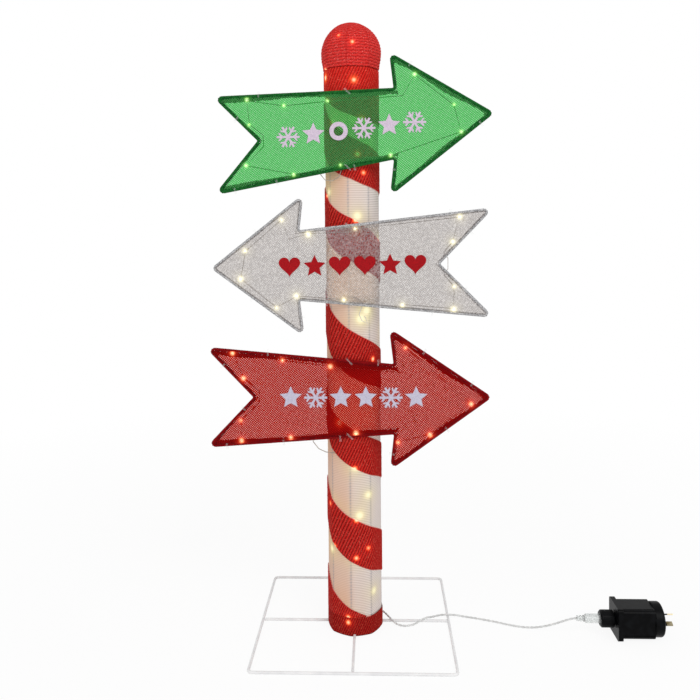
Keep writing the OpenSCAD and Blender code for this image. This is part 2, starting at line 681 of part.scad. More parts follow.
// A cable tie's closed strap, with its opening a by b and its lock at one end.
module strap(a, b, grow = 0) {
    translate([0, 0, -tie_w / 2 - grow]) linear_extrude(tie_w + 2 * grow) difference() {
        square([a + 2 * tie_t + 2 * grow, b + 2 * tie_t + 2 * grow], center = true);
        square([a - 2 * grow, b - 2 * grow], center = true);
    }
}

module edge_tie(s, at) {
    p = sign_place(s, [at[0], at[1], bead_r]);
    n = inward(arrow(s), at[0], s[0]);
    inner = bead_out + fit;
    translate([p[0], sign_y, p[1]]) rotate([0, -atan2(n[1], n[0]), 0]) {
        difference() {
            cylinder(h = tie_w, r = inner + tie_t, center = true);
            cylinder(h = tie_w + 1, r = inner, center = true);
        }
        translate([-inner - tie_t - 1.4, 0, 0]) cube([3, 3.4, tie_w + 0.8], center = true);
    }
}

// The slit through which a tie passes in the mesh, just inside the bead.
module tie_slot(s, at) {
    p = sign_place(s, [at[0], at[1], bead_r]);
    n = inward(arrow(s), at[0], s[0]);
    front = -bead_r - 1;
    back = -bead_r + 1.5 * mesh_t + clear;
    near = sqrt(pow(bead_out + fit, 2) - pow(bead_r, 2)) - fit / 2;
    deep = bead_bore + fit;
    far = bead_out + fit + tie_t + clear;
    step = -bead_r + mesh_t - fit;
    translate([p[0], sign_y, p[1]]) rotate([0, -atan2(n[1], n[0]), 0])
        translate([0, 0, -tie_w / 2 - clear]) linear_extrude(tie_w + 2 * clear)
            polygon([[near, front], [far, front], [far, back], [deep, back], [deep, step], [near, step]]);
}

// A tie that lashes a sign's edge to the rib in front of it, crosswise.
rib_x = cage_r * sin(rib_turn);
rib_y = -post_forward - cage_r * cos(rib_turn);
tie_front = sign_y - bead_out - 2 * fit;
tie_back = rib_y + cage_wire / 2 + 2 * fit;

function upper_edge(s, x) = let (p = arrow(s), a = p[0], b = p[1])
    mix(a[1], b[1], (x - a[0]) / (b[0] - a[0]));

module post_tie(s, on_top, grow = 0) {
    z = on_top ? upper_edge(s, rib_x) - bead_r : lower_edge(s, rib_x) + bead_r;
    translate([rib_x, (tie_front + tie_back) / 2, z]) rotate([0, 45, 0]) rotate([0, 0, 90])
        strap(tie_back - tie_front, 2 * (sqrt(2) * bead_out + tie_w / 2 + 2 * clear), grow);
}

module all_post_ties(grow = 0) {
    for (s = [upper, middle, lower], on_top = [false, true]) post_tie(s, on_top, grow);
}

module sign_ties(s, places) {
    color(CLEAR) {
        for (at = places) edge_tie(s, at);
        for (on_top = [false, true]) post_tie(s, on_top);
    }
}

GREEN = [0.15, 0.6, 0.3];
SILVER = [0.82, 0.82, 0.84];
RED_MESH = [0.75, 0.1, 0.14];

module upper_sign_frame() sign_frame(upper);
module upper_sign_mesh() sign_mesh(upper, upper_ties, GREEN);
module upper_sign_string() sign_string(upper, upper_exit, upper_loop, upper_lamps);
module upper_sign_lamps() sign_lamps(upper, upper_lamps);
module upper_sign_ties() sign_ties(upper, upper_ties);
module middle_sign_frame() sign_frame(middle);
module middle_sign_mesh() sign_mesh(middle, middle_ties, SILVER);
module middle_sign_string() sign_string(middle, middle_exit, middle_loop, middle_lamps);
module middle_sign_lamps() sign_lamps(middle, middle_lamps);
module middle_sign_ties() sign_ties(middle, middle_ties);
module lower_sign_frame() sign_frame(lower);
module lower_sign_mesh() sign_mesh(lower, lower_ties, RED_MESH);
module lower_sign_string() sign_string(lower, lower_exit, lower_loop, lower_lamps);
module lower_sign_lamps() sign_lamps(lower, lower_lamps);
module lower_sign_ties() sign_ties(lower, lower_ties);

// Lead and plug-in supply, all on one line along X

module on_line(x) {
    translate([x, supply_y, supply_z]) rotate([0, 90, 0]) children();
}

module lead() {
    color(CLEAR) tube(smooth_route(lead_route, LEAD_SMOOTH), lead_d / 2, 8);
}

// Three soft rings that shrink towards the lead.
module strain_relief() {
    ring = relief_l / 5;
    color(CLEAR) on_line(relief_x + fit) difference() {
        union() {
            cylinder(h = relief_l - 2 * fit, r = lead_d / 2 + 1.2);
            for (i = [0:2]) translate([0, 0, i * 2 * ring])
                cylinder(h = ring - fit, d = relief_d - (2 - i) * 0.8);
        }
        translate([0, 0, -1]) cylinder(h = 1 + fit, d = lead_d + 2 * fit);
    }
}

module lead_connector() {
    shoulder = 2;
    color(CLEAR) on_line(connector_x) rotate_extrude() polygon([
        [0, 0], [connector_d / 2 - shoulder, 0], [connector_d / 2, shoulder],
        [connector_d / 2, connector_l + 6], [0, connector_l + 6]
    ]);
}

module screw_collar() {
    flute = 0.9;
    color(BLACK) on_line(collar_x) difference() {
        rotate_extrude() polygon([
            [connector_d / 2 + fit, 0], [collar_d / 2 - 2, 0], [collar_d / 2, 2], [collar_d / 2, collar_l],
            [box_w / 5 + fit, collar_l], [box_w / 5 + fit, 8], [connector_d / 2 + fit, 8]
        ]);
        for (i = [0:collar_flutes - 1]) rotate([0, 0, i * 360 / collar_flutes])
            translate([collar_d / 2 + flute / 3, 0, 3]) cylinder(h = collar_l - 5, r = flute, $fn = 16);
    }
}

module rounded_bar(w, round, h) {
    inner = w - 2 * round;
    translate([0, 0, 0]) linear_extrude(h) union() {
        square([w, inner], center = true);
        square([inner, w], center = true);
        for (x = [-1, 1], y = [-1, 1]) translate([x * inner / 2, y * inner / 2]) circle(round);
    }
}

// The box with its end plate, the threaded spigot that the collar screws on, and its side grooves.
module supply_box() {
    groove = 1.2;
    color(BLACK) on_line(box_x) difference() {
        union() {
            rounded_bar(plate_w, box_round - 2, plate_t);
            rounded_bar(box_w, box_round, box_l);
            translate([0, 0, -2 - collar_l + 8 + fit])
                cylinder(h = 2 + collar_l - 8, r = box_w / 5);
        }
        translate([0, 0, -3 - collar_l + 8]) cylinder(h = collar_l - 8 + 0.5, r = connector_d / 2 + fit);
        for (turn = [0:90:270]) rotate([0, 0, turn])
            translate([box_w / 2 - 0.6, box_w / 2 - box_round - groove, plate_t + 2])
                cube([2, groove, box_l - plate_t - 4]);
    }
}

module plug_head() {
    edge = 3.5;
    r = head_d / 2;
    color(BLACK) on_line(head_x) difference() {
        rotate_extrude() polygon(concat(
            [[0, 0], [r - 1, 0], [r, 1]],
            [for (a = [0:15:90]) [r - edge + edge * cos(a), head_t - edge + edge * sin(a)]],
            [[0, head_t]]
        ));
        for (side = [-1, 1]) at_pin(side) translate([-pin_w / 2 - fit, -pin_t / 2 - fit, head_t - 4])
            cube([pin_w + 2 * fit, pin_t + 2 * fit, 5]);
    }
}

// A pin's own place on the head: side -1 is the upper one.
module at_pin(side) {
    translate([side * pin_pitch / 2, 0, 0]) rotate([0, 0, 90 + side * pin_slope]) children();
}

module plug_pins() {
    core = pin_t - 0.6;
    color("silver") on_line(head_x) for (side = [-1, 1]) at_pin(side) {
        translate([-pin_w / 2, -pin_t / 2, head_t + pin_l * sleeve_share])
            cube([pin_w, pin_t, pin_l * (1 - sleeve_share)]);
        translate([-pin_w / 2 + 0.3, -core / 2, head_t - 3.5])
            cube([pin_w - 0.6, core, pin_l * sleeve_share + 3.5]);
    }
}

module pin_sleeves() {
    core = pin_t - 0.6;
    color(BLACK) on_line(head_x) for (side = [-1, 1]) at_pin(side) difference() {
        translate([-pin_w / 2, -pin_t / 2, head_t - 3.5])
            cube([pin_w, pin_t, pin_l * sleeve_share + 3.5 - fit / 2]);
        translate([-pin_w / 2 + 0.28, -core / 2 - 0.02, head_t - 5])
            cube([pin_w - 0.56, core + 0.04, pin_l * sleeve_share + 6]);
    }
}

base_ring();
base_side_bar();
base_front_bars();
post_cage();
post_sleeve();
foot_hem();
spiral_band();
post_light_string();
post_lamps();
ball_cage();
ball_cover();
upper_sign_frame();
upper_sign_mesh();
upper_sign_string();
upper_sign_lamps();
upper_sign_ties();
middle_sign_frame();
middle_sign_mesh();
middle_sign_string();
middle_sign_lamps();
middle_sign_ties();
lower_sign_frame();
lower_sign_mesh();
lower_sign_string();
lower_sign_lamps();
lower_sign_ties();
lead();
strain_relief();
lead_connector();
screw_collar();
supply_box();
plug_head();
plug_pins();
pin_sleeves();
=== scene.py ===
"""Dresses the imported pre-lit signpost: knitted post, tinsel, glittering arrow signs, lamps and lead."""
import logging
import math
from dataclasses import dataclass, field
from enum import Enum

import bpy
import numpy as np
from mathutils import Matrix, Vector


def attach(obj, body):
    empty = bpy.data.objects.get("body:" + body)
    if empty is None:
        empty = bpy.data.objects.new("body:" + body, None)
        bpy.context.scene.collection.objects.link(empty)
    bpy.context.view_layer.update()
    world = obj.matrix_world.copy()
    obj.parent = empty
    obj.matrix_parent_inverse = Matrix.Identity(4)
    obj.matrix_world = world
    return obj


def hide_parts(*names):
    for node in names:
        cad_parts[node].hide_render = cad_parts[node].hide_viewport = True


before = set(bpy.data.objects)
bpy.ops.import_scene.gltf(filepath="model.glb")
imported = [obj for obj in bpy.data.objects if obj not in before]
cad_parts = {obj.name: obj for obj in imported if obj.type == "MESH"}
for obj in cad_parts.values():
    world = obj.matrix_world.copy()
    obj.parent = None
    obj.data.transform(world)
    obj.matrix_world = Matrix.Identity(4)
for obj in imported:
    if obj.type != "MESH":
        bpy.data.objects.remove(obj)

MM = 0.001
BODY = "root"
LOG = logging.getLogger("signpost")

Tone = tuple[float, float, float]
Socket = bpy.types.NodeSocket
BLACK: Tone = (0, 0, 0)
WHITE: Tone = (255, 255, 255)


def linear(tone: Tone) -> tuple[float, float, float, float]:
    """Turns a screen colour of 0 to 255 into a shader colour.

    Args:
        tone: Red, green and blue as they look on a screen.

    Returns:
        The same colour in linear light, with full alpha.
    """
    share = [c / 255 for c in tone]
    light = [c / 12.92 if c <= 0.04045 else ((c + 0.055) / 1.055) ** 2.4 for c in share]
    return (light[0], light[1], light[2], 1.0)


def fade(value: np.ndarray, middle: float, softness: float) -> np.ndarray:
    """Rises softly from 0 to 1 round a middle, or falls where the softness is below zero."""
    return 1 / (1 + np.exp((middle - value) / softness))


class Side(Enum):
    """The way that an arrow sign points, as the sign of its X."""

    RIGHT = 1
    LEFT = -1


class Motif(Enum):
    """The felt shapes that may stand on a sign."""

    STAR = "star"
    HEART = "heart"
    FLAKE = "flake"
    RING = "ring"


class NodeTree:
    """A tree of nodes while it is built."""

    clamped: bool = False

    def __init__(self, tree: bpy.types.NodeTree) -> None:
        """Takes the tree that gets the nodes, and empties it."""
        self.tree = tree
        self.tree.nodes.clear()

    def add(self, kind: str, **settings: object) -> bpy.types.Node:
        """Adds a node.

        Args:
            kind: Blender's name for the node type.
            **settings: Properties of the node.

        Returns:
            The node.
        """
        node = self.tree.nodes.new(kind)
        for key, value in settings.items():
            setattr(node, key, value)
        return node

    def feed(self, node: bpy.types.Node, **sources: object) -> bpy.types.Node:
        """Sets or links inputs of a node.

        Args:
            node: The node.
            **sources: Sockets or plain values by input name, with _ for a space, or in0, in1 by order.

        Returns:
            The same node.
        """
        for name, source in sources.items():
            slot = int(name[2:]) if name[:2] == "in" and name[2:].isdigit() else name.replace("_", " ")
            if isinstance(source, Socket):
                self.tree.links.new(source, node.inputs[slot])
            else:
                node.inputs[slot].default_value = source
        return node

    def made(self, kind: str, **sources: object) -> Socket:
        """Adds a node, feeds it and returns its first output."""
        return self.feed(self.add(kind), **sources).outputs[0]

    def math(self, operation: str, first: object, second: object = 0.0) -> Socket:
        """Works out one sum of sockets or numbers, held between 0 and 1 in a material."""
        node = self.add("ShaderNodeMath", operation=operation, use_clamp=self.clamped)
        return self.feed(node, in0=first, in1=second).outputs[0]

    def blend(self, share: Socket, first: Socket, second: Socket) -> Socket:
        """Mixes two shaders by the second's share."""
        return self.made("ShaderNodeMixShader", in0=share, in1=first, in2=second)


class Shader(NodeTree):
    """A material's node tree while it is built."""

    clamped: bool = True

    def __init__(self, name: str) -> None:
        """Starts an empty material.

        Args:
            name: Name of the material.
        """
        self.material = bpy.data.materials.new(name)
        self.material.use_nodes = True
        super().__init__(self.material.node_tree)
        self.output = self.add("ShaderNodeOutputMaterial")

    def show(self, shader: Socket) -> None:
        """Makes a shader the material's surface."""
        self.feed(self.output, Surface=shader)

    def attribute(self, name: str) -> Socket:
        """Returns the value of one of the piece's own attributes."""
        return self.add("ShaderNodeAttribute", attribute_name=name).outputs["Fac"]

    def noise(self, size_mm: float, detail: float = 2.0, stretch: Tone = (1, 1, 1)) -> Socket:
        """Adds noise on the piece's Object coordinates.

        Args:
            size_mm: Rough size of a speck.
            detail: How many finer layers it has.
            stretch: How much denser it is along each axis.

        Returns:
            The noise, mostly 0.3 to 0.7.
        """
        place = self.add("ShaderNodeTexCoord").outputs["Object"]
        scaled = self.made("ShaderNodeMapping", Vector=place, Scale=stretch)
        return self.made("ShaderNodeTexNoise", Vector=scaled, Scale=1 / (size_mm * MM), Detail=detail)

    def ramp(self, value: Socket, *stops: tuple[float, Tone]) -> Socket:
        """Turns a value into a colour.

        Args:
            value: The socket that is read.
            *stops: Places from 0 to 1, each with its screen colour.

        Returns:
            The colour.
        """
        node = self.feed(self.add("ShaderNodeValToRGB"), in0=value)
        bar = node.color_ramp.elements
        while len(bar) < len(stops):
            bar.new(1.0)
        for stop, (place, tone) in zip(bar, stops):
            stop.position = place
            stop.color = linear(tone)
        return node.outputs["Color"]

    def mix(self, share: Socket, first: object, second: object) -> Socket:
        """Mixes two colours.

        Args:
            share: How much of the second shows.
            first: A socket or a screen colour.
            second: A socket or a screen colour.

        Returns:
            The mixed colour.
        """
        tones = [value if isinstance(value, Socket) else linear(value) for value in (first, second)]
        node = self.feed(self.add("ShaderNodeMix", data_type="RGBA"), in0=share, in6=tones[0], in7=tones[1])
        return node.outputs[2]

    def bump(self, height: Socket, depth_mm: float, strength: float) -> Socket:
        """Turns a height into relief of a depth and returns the bent normal."""
        return self.made("ShaderNodeBump", Height=height, Distance=depth_mm * MM, Strength=strength)

    def surface(self, **inputs: object) -> Socket:
        """Adds the main shader and shows it.

        Args:
            **inputs: Values or sockets by the shader's own socket names, with _ for a space.

        Returns:
            The shader.
        """
        shader = self.made("ShaderNodeBsdfPrincipled", **inputs)
        self.show(shader)
        return shader


@dataclass(frozen=True)
class PaintedWire:
    """White powder paint on steel wire."""

    name: str = "white_paint"
    pale: Tone = (240, 240, 240)
    dull: Tone = (230, 230, 231)
    roughness: float = 0.38
    patch_mm: float = 18.0
    orange_peel_mm: float = 1.4
    relief_mm: float = 0.04
    relief: float = 0.3

    def make(self) -> bpy.types.Material:
        """Makes the finish.

        Returns:
            The material: even paint with a faint orange peel and duller patches.
        """
        s = Shader(self.name)
        s.surface(Roughness=self.roughness,
                  Base_Color=s.ramp(s.noise(self.patch_mm, 4.0), (0.38, self.dull), (0.6, self.pale)),
                  Normal=s.bump(s.noise(self.orange_peel_mm), self.relief_mm, self.relief))
        return s.material


@dataclass(frozen=True)
class KnitCloth:
    """White knitted cloth that the lamps shine through."""

    name: str = "white_knit"
    # groove and ridge: the knit's rows, with painted shade in the grooves and lighter ridges; fluff specks
    # also take the groove colour
    groove: Tone = (182, 172, 168)
    ridge: Tone = (240, 233, 230)
    # warm: colour of the painted warm light from the lamps inside the post
    warm: Tone = (226, 170, 128)
    # rib: colour of the painted shadow of the cage's wires on the cloth
    rib: Tone = (146, 142, 150)
    glow_stops: tuple = ((0.0, BLACK), (0.25, (112, 104, 60)), (0.6, (192, 184, 128)), (1.0, (246, 239, 194)))
    # Colour of the painted glow on the sleeve where the signs hang in front of it.
    blush: Tone = (255, 234, 212)
    glow: float = 1.0
    hidden_by_glow: float = 0.75
    roughness: float = 0.9
    fluff_mm: float = 0.9
    fluff_share: float = 0.16
    relief_mm: float = 0.5
    relief: float = 0.6

    def make(self) -> bpy.types.Material:
        """Makes the finish.

        Returns:
            The material: stitched rows with painted shade in their grooves, painted warm light from the lamps
                inside on one side, painted shade on the other, and the painted shadows of the cage's wires as
                faint dashed ribs.
        """
        s = Shader(self.name)
        glow = s.attribute("glow")
        # Painted shade: the rows' grooves are coloured darker than their ridges.
        rows = s.ramp(s.attribute("ridge"), (0.0, self.groove), (0.75, self.ridge))
        # Painted warm light and painted shade, by the attribute 'warm'.
        warm_lit_rows = s.mix(s.attribute("warm"), rows, self.warm)
        # Painted shadows of the cage's wires, by the attribute 'rib'.
        ribbed = s.mix(s.attribute("rib"), warm_lit_rows, self.rib)
        fluff = s.noise(self.fluff_mm, 3.0, (1, 1, 0.6))
        plain = s.mix(s.math("MULTIPLY", fluff, self.fluff_share), ribbed, self.groove)
        # The emission is painted light: the lamps' halos, and the glow where the signs hang in front.
        s.surface(Roughness=self.roughness, Specular_IOR_Level=0.1, Emission_Strength=self.glow,
                  Base_Color=s.mix(s.math("MULTIPLY", glow, self.hidden_by_glow), plain, BLACK),
                  Emission_Color=s.mix(s.attribute("blush"), s.ramp(glow, *self.glow_stops), self.blush),
                  Normal=s.bump(fluff, self.relief_mm, self.relief))
        return s.material


@dataclass(frozen=True)
class TinselCloth:
    """Ribbed cloth of shiny tinsel thread."""

    name: str
    # groove and ridge: painted shade in the grooves and painted highlight on the ridges; seams also take the
    # groove colour
    groove: Tone
    ridge: Tone
    # Colour of the painted glints of single tinsel threads.
    painted_glint: Tone
    glow_stops: tuple = ((0.0, BLACK), (0.2, (124, 14, 6)), (0.5, (244, 104, 50)), (1.0, (255, 238, 184)))
    glow: float = 0.95
    # Colour of the pale highlight painted along the band's turned-in edges.
    edging: Tone = (238, 168, 156)
    roughness: float = 0.7
    seam_share: float = 0.35
    painted_glint_share: float = 0.6
    evenness: float = 0.4
    thread_mm: float = 0.8
    relief_mm: float = 0.6
    relief: float = 0.8

    def make(self) -> bpy.types.Material:
        """Makes the finish.

        Returns:
            The material: painted shade in the dark grooves, dark seams, painted highlights on the bright
                ridges and painted glints of single threads.
        """
        s = Shader(self.name)
        fine = s.noise(self.thread_mm, 2.0, (1, 1, 0.5))
        # Painted glints: bright specks where the fine noise is high.
        painted_glint = s.ramp(fine, (0.6, BLACK), (0.72, WHITE))
        height = s.math("MULTIPLY", s.attribute("ridge"), s.math("ADD", fine, self.evenness))
        # Painted shade in the grooves and painted highlight on the ridges, by the ridges' height.
        cloth = s.mix(height, self.groove, self.ridge)
        lit = s.mix(s.math("MULTIPLY", painted_glint, self.painted_glint_share), cloth, self.painted_glint)
        seamed = s.mix(s.math("MULTIPLY", s.attribute("seam"), self.seam_share), lit, self.groove)
        # The base colour takes a painted highlight along the turned-in edges.
        s.surface(Roughness=self.roughness, Specular_IOR_Level=0.03, Emission_Strength=self.glow,
                  Base_Color=s.mix(s.attribute("edging"), seamed, self.edging),
                  Emission_Color=s.ramp(s.attribute("glow"), *self.glow_stops),
                  Normal=s.bump(fine, self.relief_mm, self.relief))
        return s.material


@dataclass(frozen=True)
class GlitterNet:
    """Fine glittering net that shows what is behind it."""

    name: str
    body: Tone
    bright: Tone
    hem: Tone
    tint: Tone
    clear: float
    hem_clear: float
    glow_stops: tuple
    deep: Tone
    hem_deep: Tone
    hem_width: float = 6.0
    hem_waver: float = 6.5
    waver_mm: float = 26.0
    hem_patch_mm: float = 2.6
    grain: float = 0.22
    grain_mm: float = 1.2
    weave: float = 0.7
    gap: float = 0.26
    glow: float = 1.6
    core: float = 2.6
    halo: float = 6.0
    halo_share: float = 0.35
    roughness: float = 0.6
    relief_mm: float = 0.5
    relief: float = 0.6

    def make(self) -> bpy.types.Material:
        """Makes the finish.

        Returns:
            The material: tinted see-through threads, a dense uneven hem and the lamps' halos.
        """
        s = Shader(self.name)
        waver = s.math("MULTIPLY", s.noise(self.waver_mm, 3.0), self.hem_waver / self.hem_width)
        inside = s.math("DIVIDE", s.attribute("rim"), self.hem_width * MM * 2)
        hem = s.ramp(s.math("ADD", inside, s.math("MULTIPLY", waver, 0.5)), (0.52, WHITE), (0.6, BLACK))
        fine = s.noise(self.grain_mm, 1.0)
        specks = s.math("MULTIPLY", s.ramp(fine, (0.38, WHITE), (0.52, BLACK)), self.grain)
        woven = s.math("MULTIPLY", s.attribute("weft"), self.weave)
        loose = s.math("MULTIPLY", s.attribute("glint"), 1 - self.weave)
        thread = s.mix(s.math("ADD", woven, loose), self.body, self.bright)
        patchy = s.ramp(s.noise(self.hem_patch_mm, 2.0), (0.4, self.hem_deep), (0.62, self.hem))
        cloth = s.surface(Roughness=self.roughness, Specular_IOR_Level=0.05, Emission_Strength=self.glow,
                          Base_Color=s.mix(hem, s.mix(specks, thread, self.deep), patchy),
                          Emission_Color=s.ramp(s.attribute("glow"), *self.glow_stops),
                          Normal=s.bump(fine, self.relief_mm, self.relief))
        window = s.made("ShaderNodeBsdfTransparent", Color=linear(self.tint))
        open_share = s.made("ShaderNodeMapRange", Value=s.math("MAXIMUM", hem, specks), To_Min=self.clear,
                            To_Max=self.hem_clear)
        s.show(s.blend(open_share, cloth, window))
        return s.material


@dataclass(frozen=True)
class TinselEdge:
    """Dense tinsel thread wound over a sign's frame and laid in its hem."""

    name: str
    dark: Tone
    light: Tone
    thread_mm: float = 1.1
    roughness: float = 0.6
    relief_mm: float = 0.5
    relief: float = 0.7

    def make(self) -> bpy.types.Material:
        """Makes the finish.

        Returns:
            The material: dark thread with lighter specks.
        """
        s = Shader(self.name)
        fine = s.noise(self.thread_mm)
        s.surface(Roughness=self.roughness, Specular_IOR_Level=0.05,
                  Base_Color=s.ramp(fine, (0.4, self.dark), (0.68, self.light)),
                  Normal=s.bump(fine, self.relief_mm, self.relief))
        return s.material


@dataclass(frozen=True)
class LitLamp:
    """A small warm lamp that is on."""

    name: str = "warm_lamp"
    glass: Tone = (255, 238, 190)
    edge: Tone = (255, 190, 90)
    power: float = 2.6
    roughness: float = 0.2
    patch_mm: float = 2.0

    def make(self) -> bpy.types.Material:
        """Makes the finish.

        Returns:
            The material: a bright tip that fades to amber at the collar.
        """
        s = Shader(self.name)
        s.surface(Roughness=self.roughness, Emission_Strength=self.power,
                  Base_Color=s.ramp(s.noise(self.patch_mm), (0.3, self.edge), (0.6, self.glass)),
                  Emission_Color=s.ramp(s.attribute("tip"), (0.0, self.edge), (0.6, self.glass)))
        return s.material


@dataclass(frozen=True)
class Felt:
    """Soft pressed felt."""

    name: str
    base: Tone
    shade: Tone
    roughness: float = 0.95
    sheen: float = 0.1
    sheen_roughness: float = 0.6
    fibre_mm: float = 1.6
    relief_mm: float = 0.4
    relief: float = 0.6

    def make(self) -> bpy.types.Material:
        """Makes the finish.

        Returns:
            The material: matted fibres with a soft sheen.
        """
        s = Shader(self.name)
        fibres = s.noise(self.fibre_mm, 5.0)
        s.surface(Roughness=self.roughness, Specular_IOR_Level=0.1, Sheen_Weight=self.sheen,
                  Sheen_Roughness=self.sheen_roughness,
                  Base_Color=s.ramp(fibres, (0.35, self.shade), (0.6, self.base)),
                  Normal=s.bump(fibres, self.relief_mm, self.relief))
        return s.material


@dataclass(frozen=True)
class Moulded:
    """Moulded plastic, plain or see-through."""

    name: str
    base: Tone
    worn: Tone
    roughness: float = 0.4
    patch_mm: float = 9.0
    grain_mm: float = 0.5
    relief_mm: float = 0.08
    relief: float = 0.6
    glass: float = 0.0
    ior: float = 1.46
    gloss: float = 0.5
    shown: float = 1.0

    def make(self) -> bpy.types.Material:
        """Makes the finish.

        Returns:
            The material: fine moulded grain with slightly worn, paler patches.
        """
        s = Shader(self.name)
        s.surface(Roughness=self.roughness, Transmission_Weight=self.glass, IOR=self.ior,
                  Specular_IOR_Level=self.gloss, Alpha=self.shown,
                  Base_Color=s.ramp(s.noise(self.patch_mm, 5.0), (0.42, self.base), (0.7, self.worn)),
                  Normal=s.bump(s.noise(self.grain_mm), self.relief_mm, self.relief))
        return s.material


@dataclass(frozen=True)
class PinMetal:
    """Plated brass of the plug's pins."""

    name: str = "pin_brass"
    base: Tone = (176, 168, 142)
    worn: Tone = (138, 126, 96)
    roughness: float = 0.28
    scratch_mm: float = 0.6
    relief_mm: float = 0.05
    relief: float = 0.5

    def make(self) -> bpy.types.Material:
        """Makes the finish.

        Returns:
            The material: drawn metal with scratches along the pins.
        """
        s = Shader(self.name)
        drawn = s.noise(self.scratch_mm, 3.0, (0.1, 1, 1))
        s.surface(Roughness=self.roughness, Metallic=1.0,
                  Base_Color=s.ramp(drawn, (0.35, self.worn), (0.65, self.base)),
                  Normal=s.bump(drawn, self.relief_mm, self.relief))
        return s.material


class Form(NodeTree):
    """A Geometry Nodes tree while it is built, with named inputs."""

    def __init__(self, name: str) -> None:
        """Starts a tree that takes and gives geometry.

        Args:
            name: Name of the tree.
        """
        super().__init__(bpy.data.node_groups.new(name, "GeometryNodeTree"))
        self.tree.interface.new_socket("Geometry", in_out="INPUT", socket_type="NodeSocketGeometry")
        self.tree.interface.new_socket("Geometry", in_out="OUTPUT", socket_type="NodeSocketGeometry")
        self.tree.interface.new_socket("Material", in_out="INPUT", socket_type="NodeSocketMaterial")
        self.entry = self.add("NodeGroupInput")
        self.given = self.entry.outputs["Geometry"]

    def size(self, name: str, value: float) -> Socket:
        """Adds a named input for a size.

        Args:
            name: Name of the input.
            value: Its value unless the run sets another.

        Returns:
            Its socket inside the tree.
        """
        socket = self.tree.interface.new_socket(name, in_out="INPUT", socket_type="NodeSocketFloat")
        socket.default_value = value
        return self.entry.outputs[name]

    def here(self) -> Socket:
        """Returns the place of each point."""
        return self.add("GeometryNodeInputPosition").outputs[0]

    def normal(self) -> Socket:
        """Returns the normal at each point."""
        return self.add("GeometryNodeInputNormal").outputs[0]

    def vector(self, operation: str, first: object, second: object) -> Socket:
        """Works out one sum of two vectors."""
        node = self.add("ShaderNodeVectorMath", operation=operation)
        return self.feed(node, in0=first, in1=second).outputs[0]

    def scaled(self, vector: Socket, factor: object) -> Socket:
        """Returns a vector times a factor."""
        node = self.add("ShaderNodeVectorMath", operation="SCALE")
        return self.feed(node, in0=vector, Scale=factor).outputs[0]

    def chance(self, seed: int) -> Socket:
        """Returns a random share of 0 to 1 for each element."""
        return self.feed(self.add("FunctionNodeRandomValue", data_type="FLOAT"), Seed=seed).outputs[1]

    def named(self, name: str, kind: str = "FLOAT") -> Socket:
        """Returns the value of an attribute of the input."""
        node = self.add("GeometryNodeInputNamedAttribute", data_type=kind)
        return self.feed(node, Name=name).outputs[0]

    def keep(self, geometry: Socket, name: str, value: object, domain: str = "POINT") -> Socket:
        """Stores a value as an attribute and returns the geometry that has it."""
        node = self.add("GeometryNodeStoreNamedAttribute", data_type="FLOAT", domain=domain)
        return self.feed(node, Geometry=geometry, Name=name, Value=value).outputs[0]

    def without(self, geometry: Socket, selection: Socket) -> Socket:
        """Deletes the selected faces."""
        node = self.add("GeometryNodeDeleteGeometry", domain="FACE")
        return self.feed(node, Geometry=geometry, Selection=selection).outputs[0]

    def resampled(self, line: Socket, mode: str, **sources: object) -> Socket:
        """Spaces the points of a line by their number or their distance."""
        return self.feed(self.add("GeometryNodeResampleCurve", mode=mode), Curve=line, **sources).outputs[0]

    def tube(self, line: Socket, profile: Socket, capped: bool = False) -> Socket:
        """Sweeps a profile along a line."""
        return self.made("GeometryNodeCurveToMesh", Curve=line, Profile_Curve=profile, Fill_Caps=capped)

    def close(self, geometry: Socket) -> None:
        """Ends the tree with Realize Instances and Set Material.

        Args:
            geometry: What the tree gives.
        """
        real = self.made("GeometryNodeRealizeInstances", Geometry=geometry)
        dressed = self.made("GeometryNodeSetMaterial", Geometry=real, Material=self.entry.outputs["Material"])
        self.feed(self.add("NodeGroupOutput"), Geometry=dressed)

    def run(self, host: bpy.types.Object, material: bpy.types.Material, **sizes: float) -> bpy.types.Object:
        """Runs the tree on an object and keeps the result as its plain mesh.

        Args:
            host: The object that carries the input.
            material: The finish of the result.
            **sizes: Values of the named inputs, with _ for a space.

        Returns:
            The host, with the result as its mesh.
        """
        modifier = host.modifiers.new(self.tree.name, "NODES")
        modifier.node_group = self.tree
        inputs = {item.name: item.identifier for item in self.tree.interface.items_tree
                  if item.item_type == "SOCKET" and item.in_out == "INPUT"}
        modifier[inputs["Material"]] = material
        for name, value in sizes.items():
            modifier[inputs[name.replace("_", " ")]] = value
        graph = bpy.context.evaluated_depsgraph_get()
        mesh = bpy.data.meshes.new_from_object(host.evaluated_get(graph), preserve_all_data_layers=True,
                                               depsgraph=graph)
        host.modifiers.remove(modifier)
        host.data = mesh
        return host


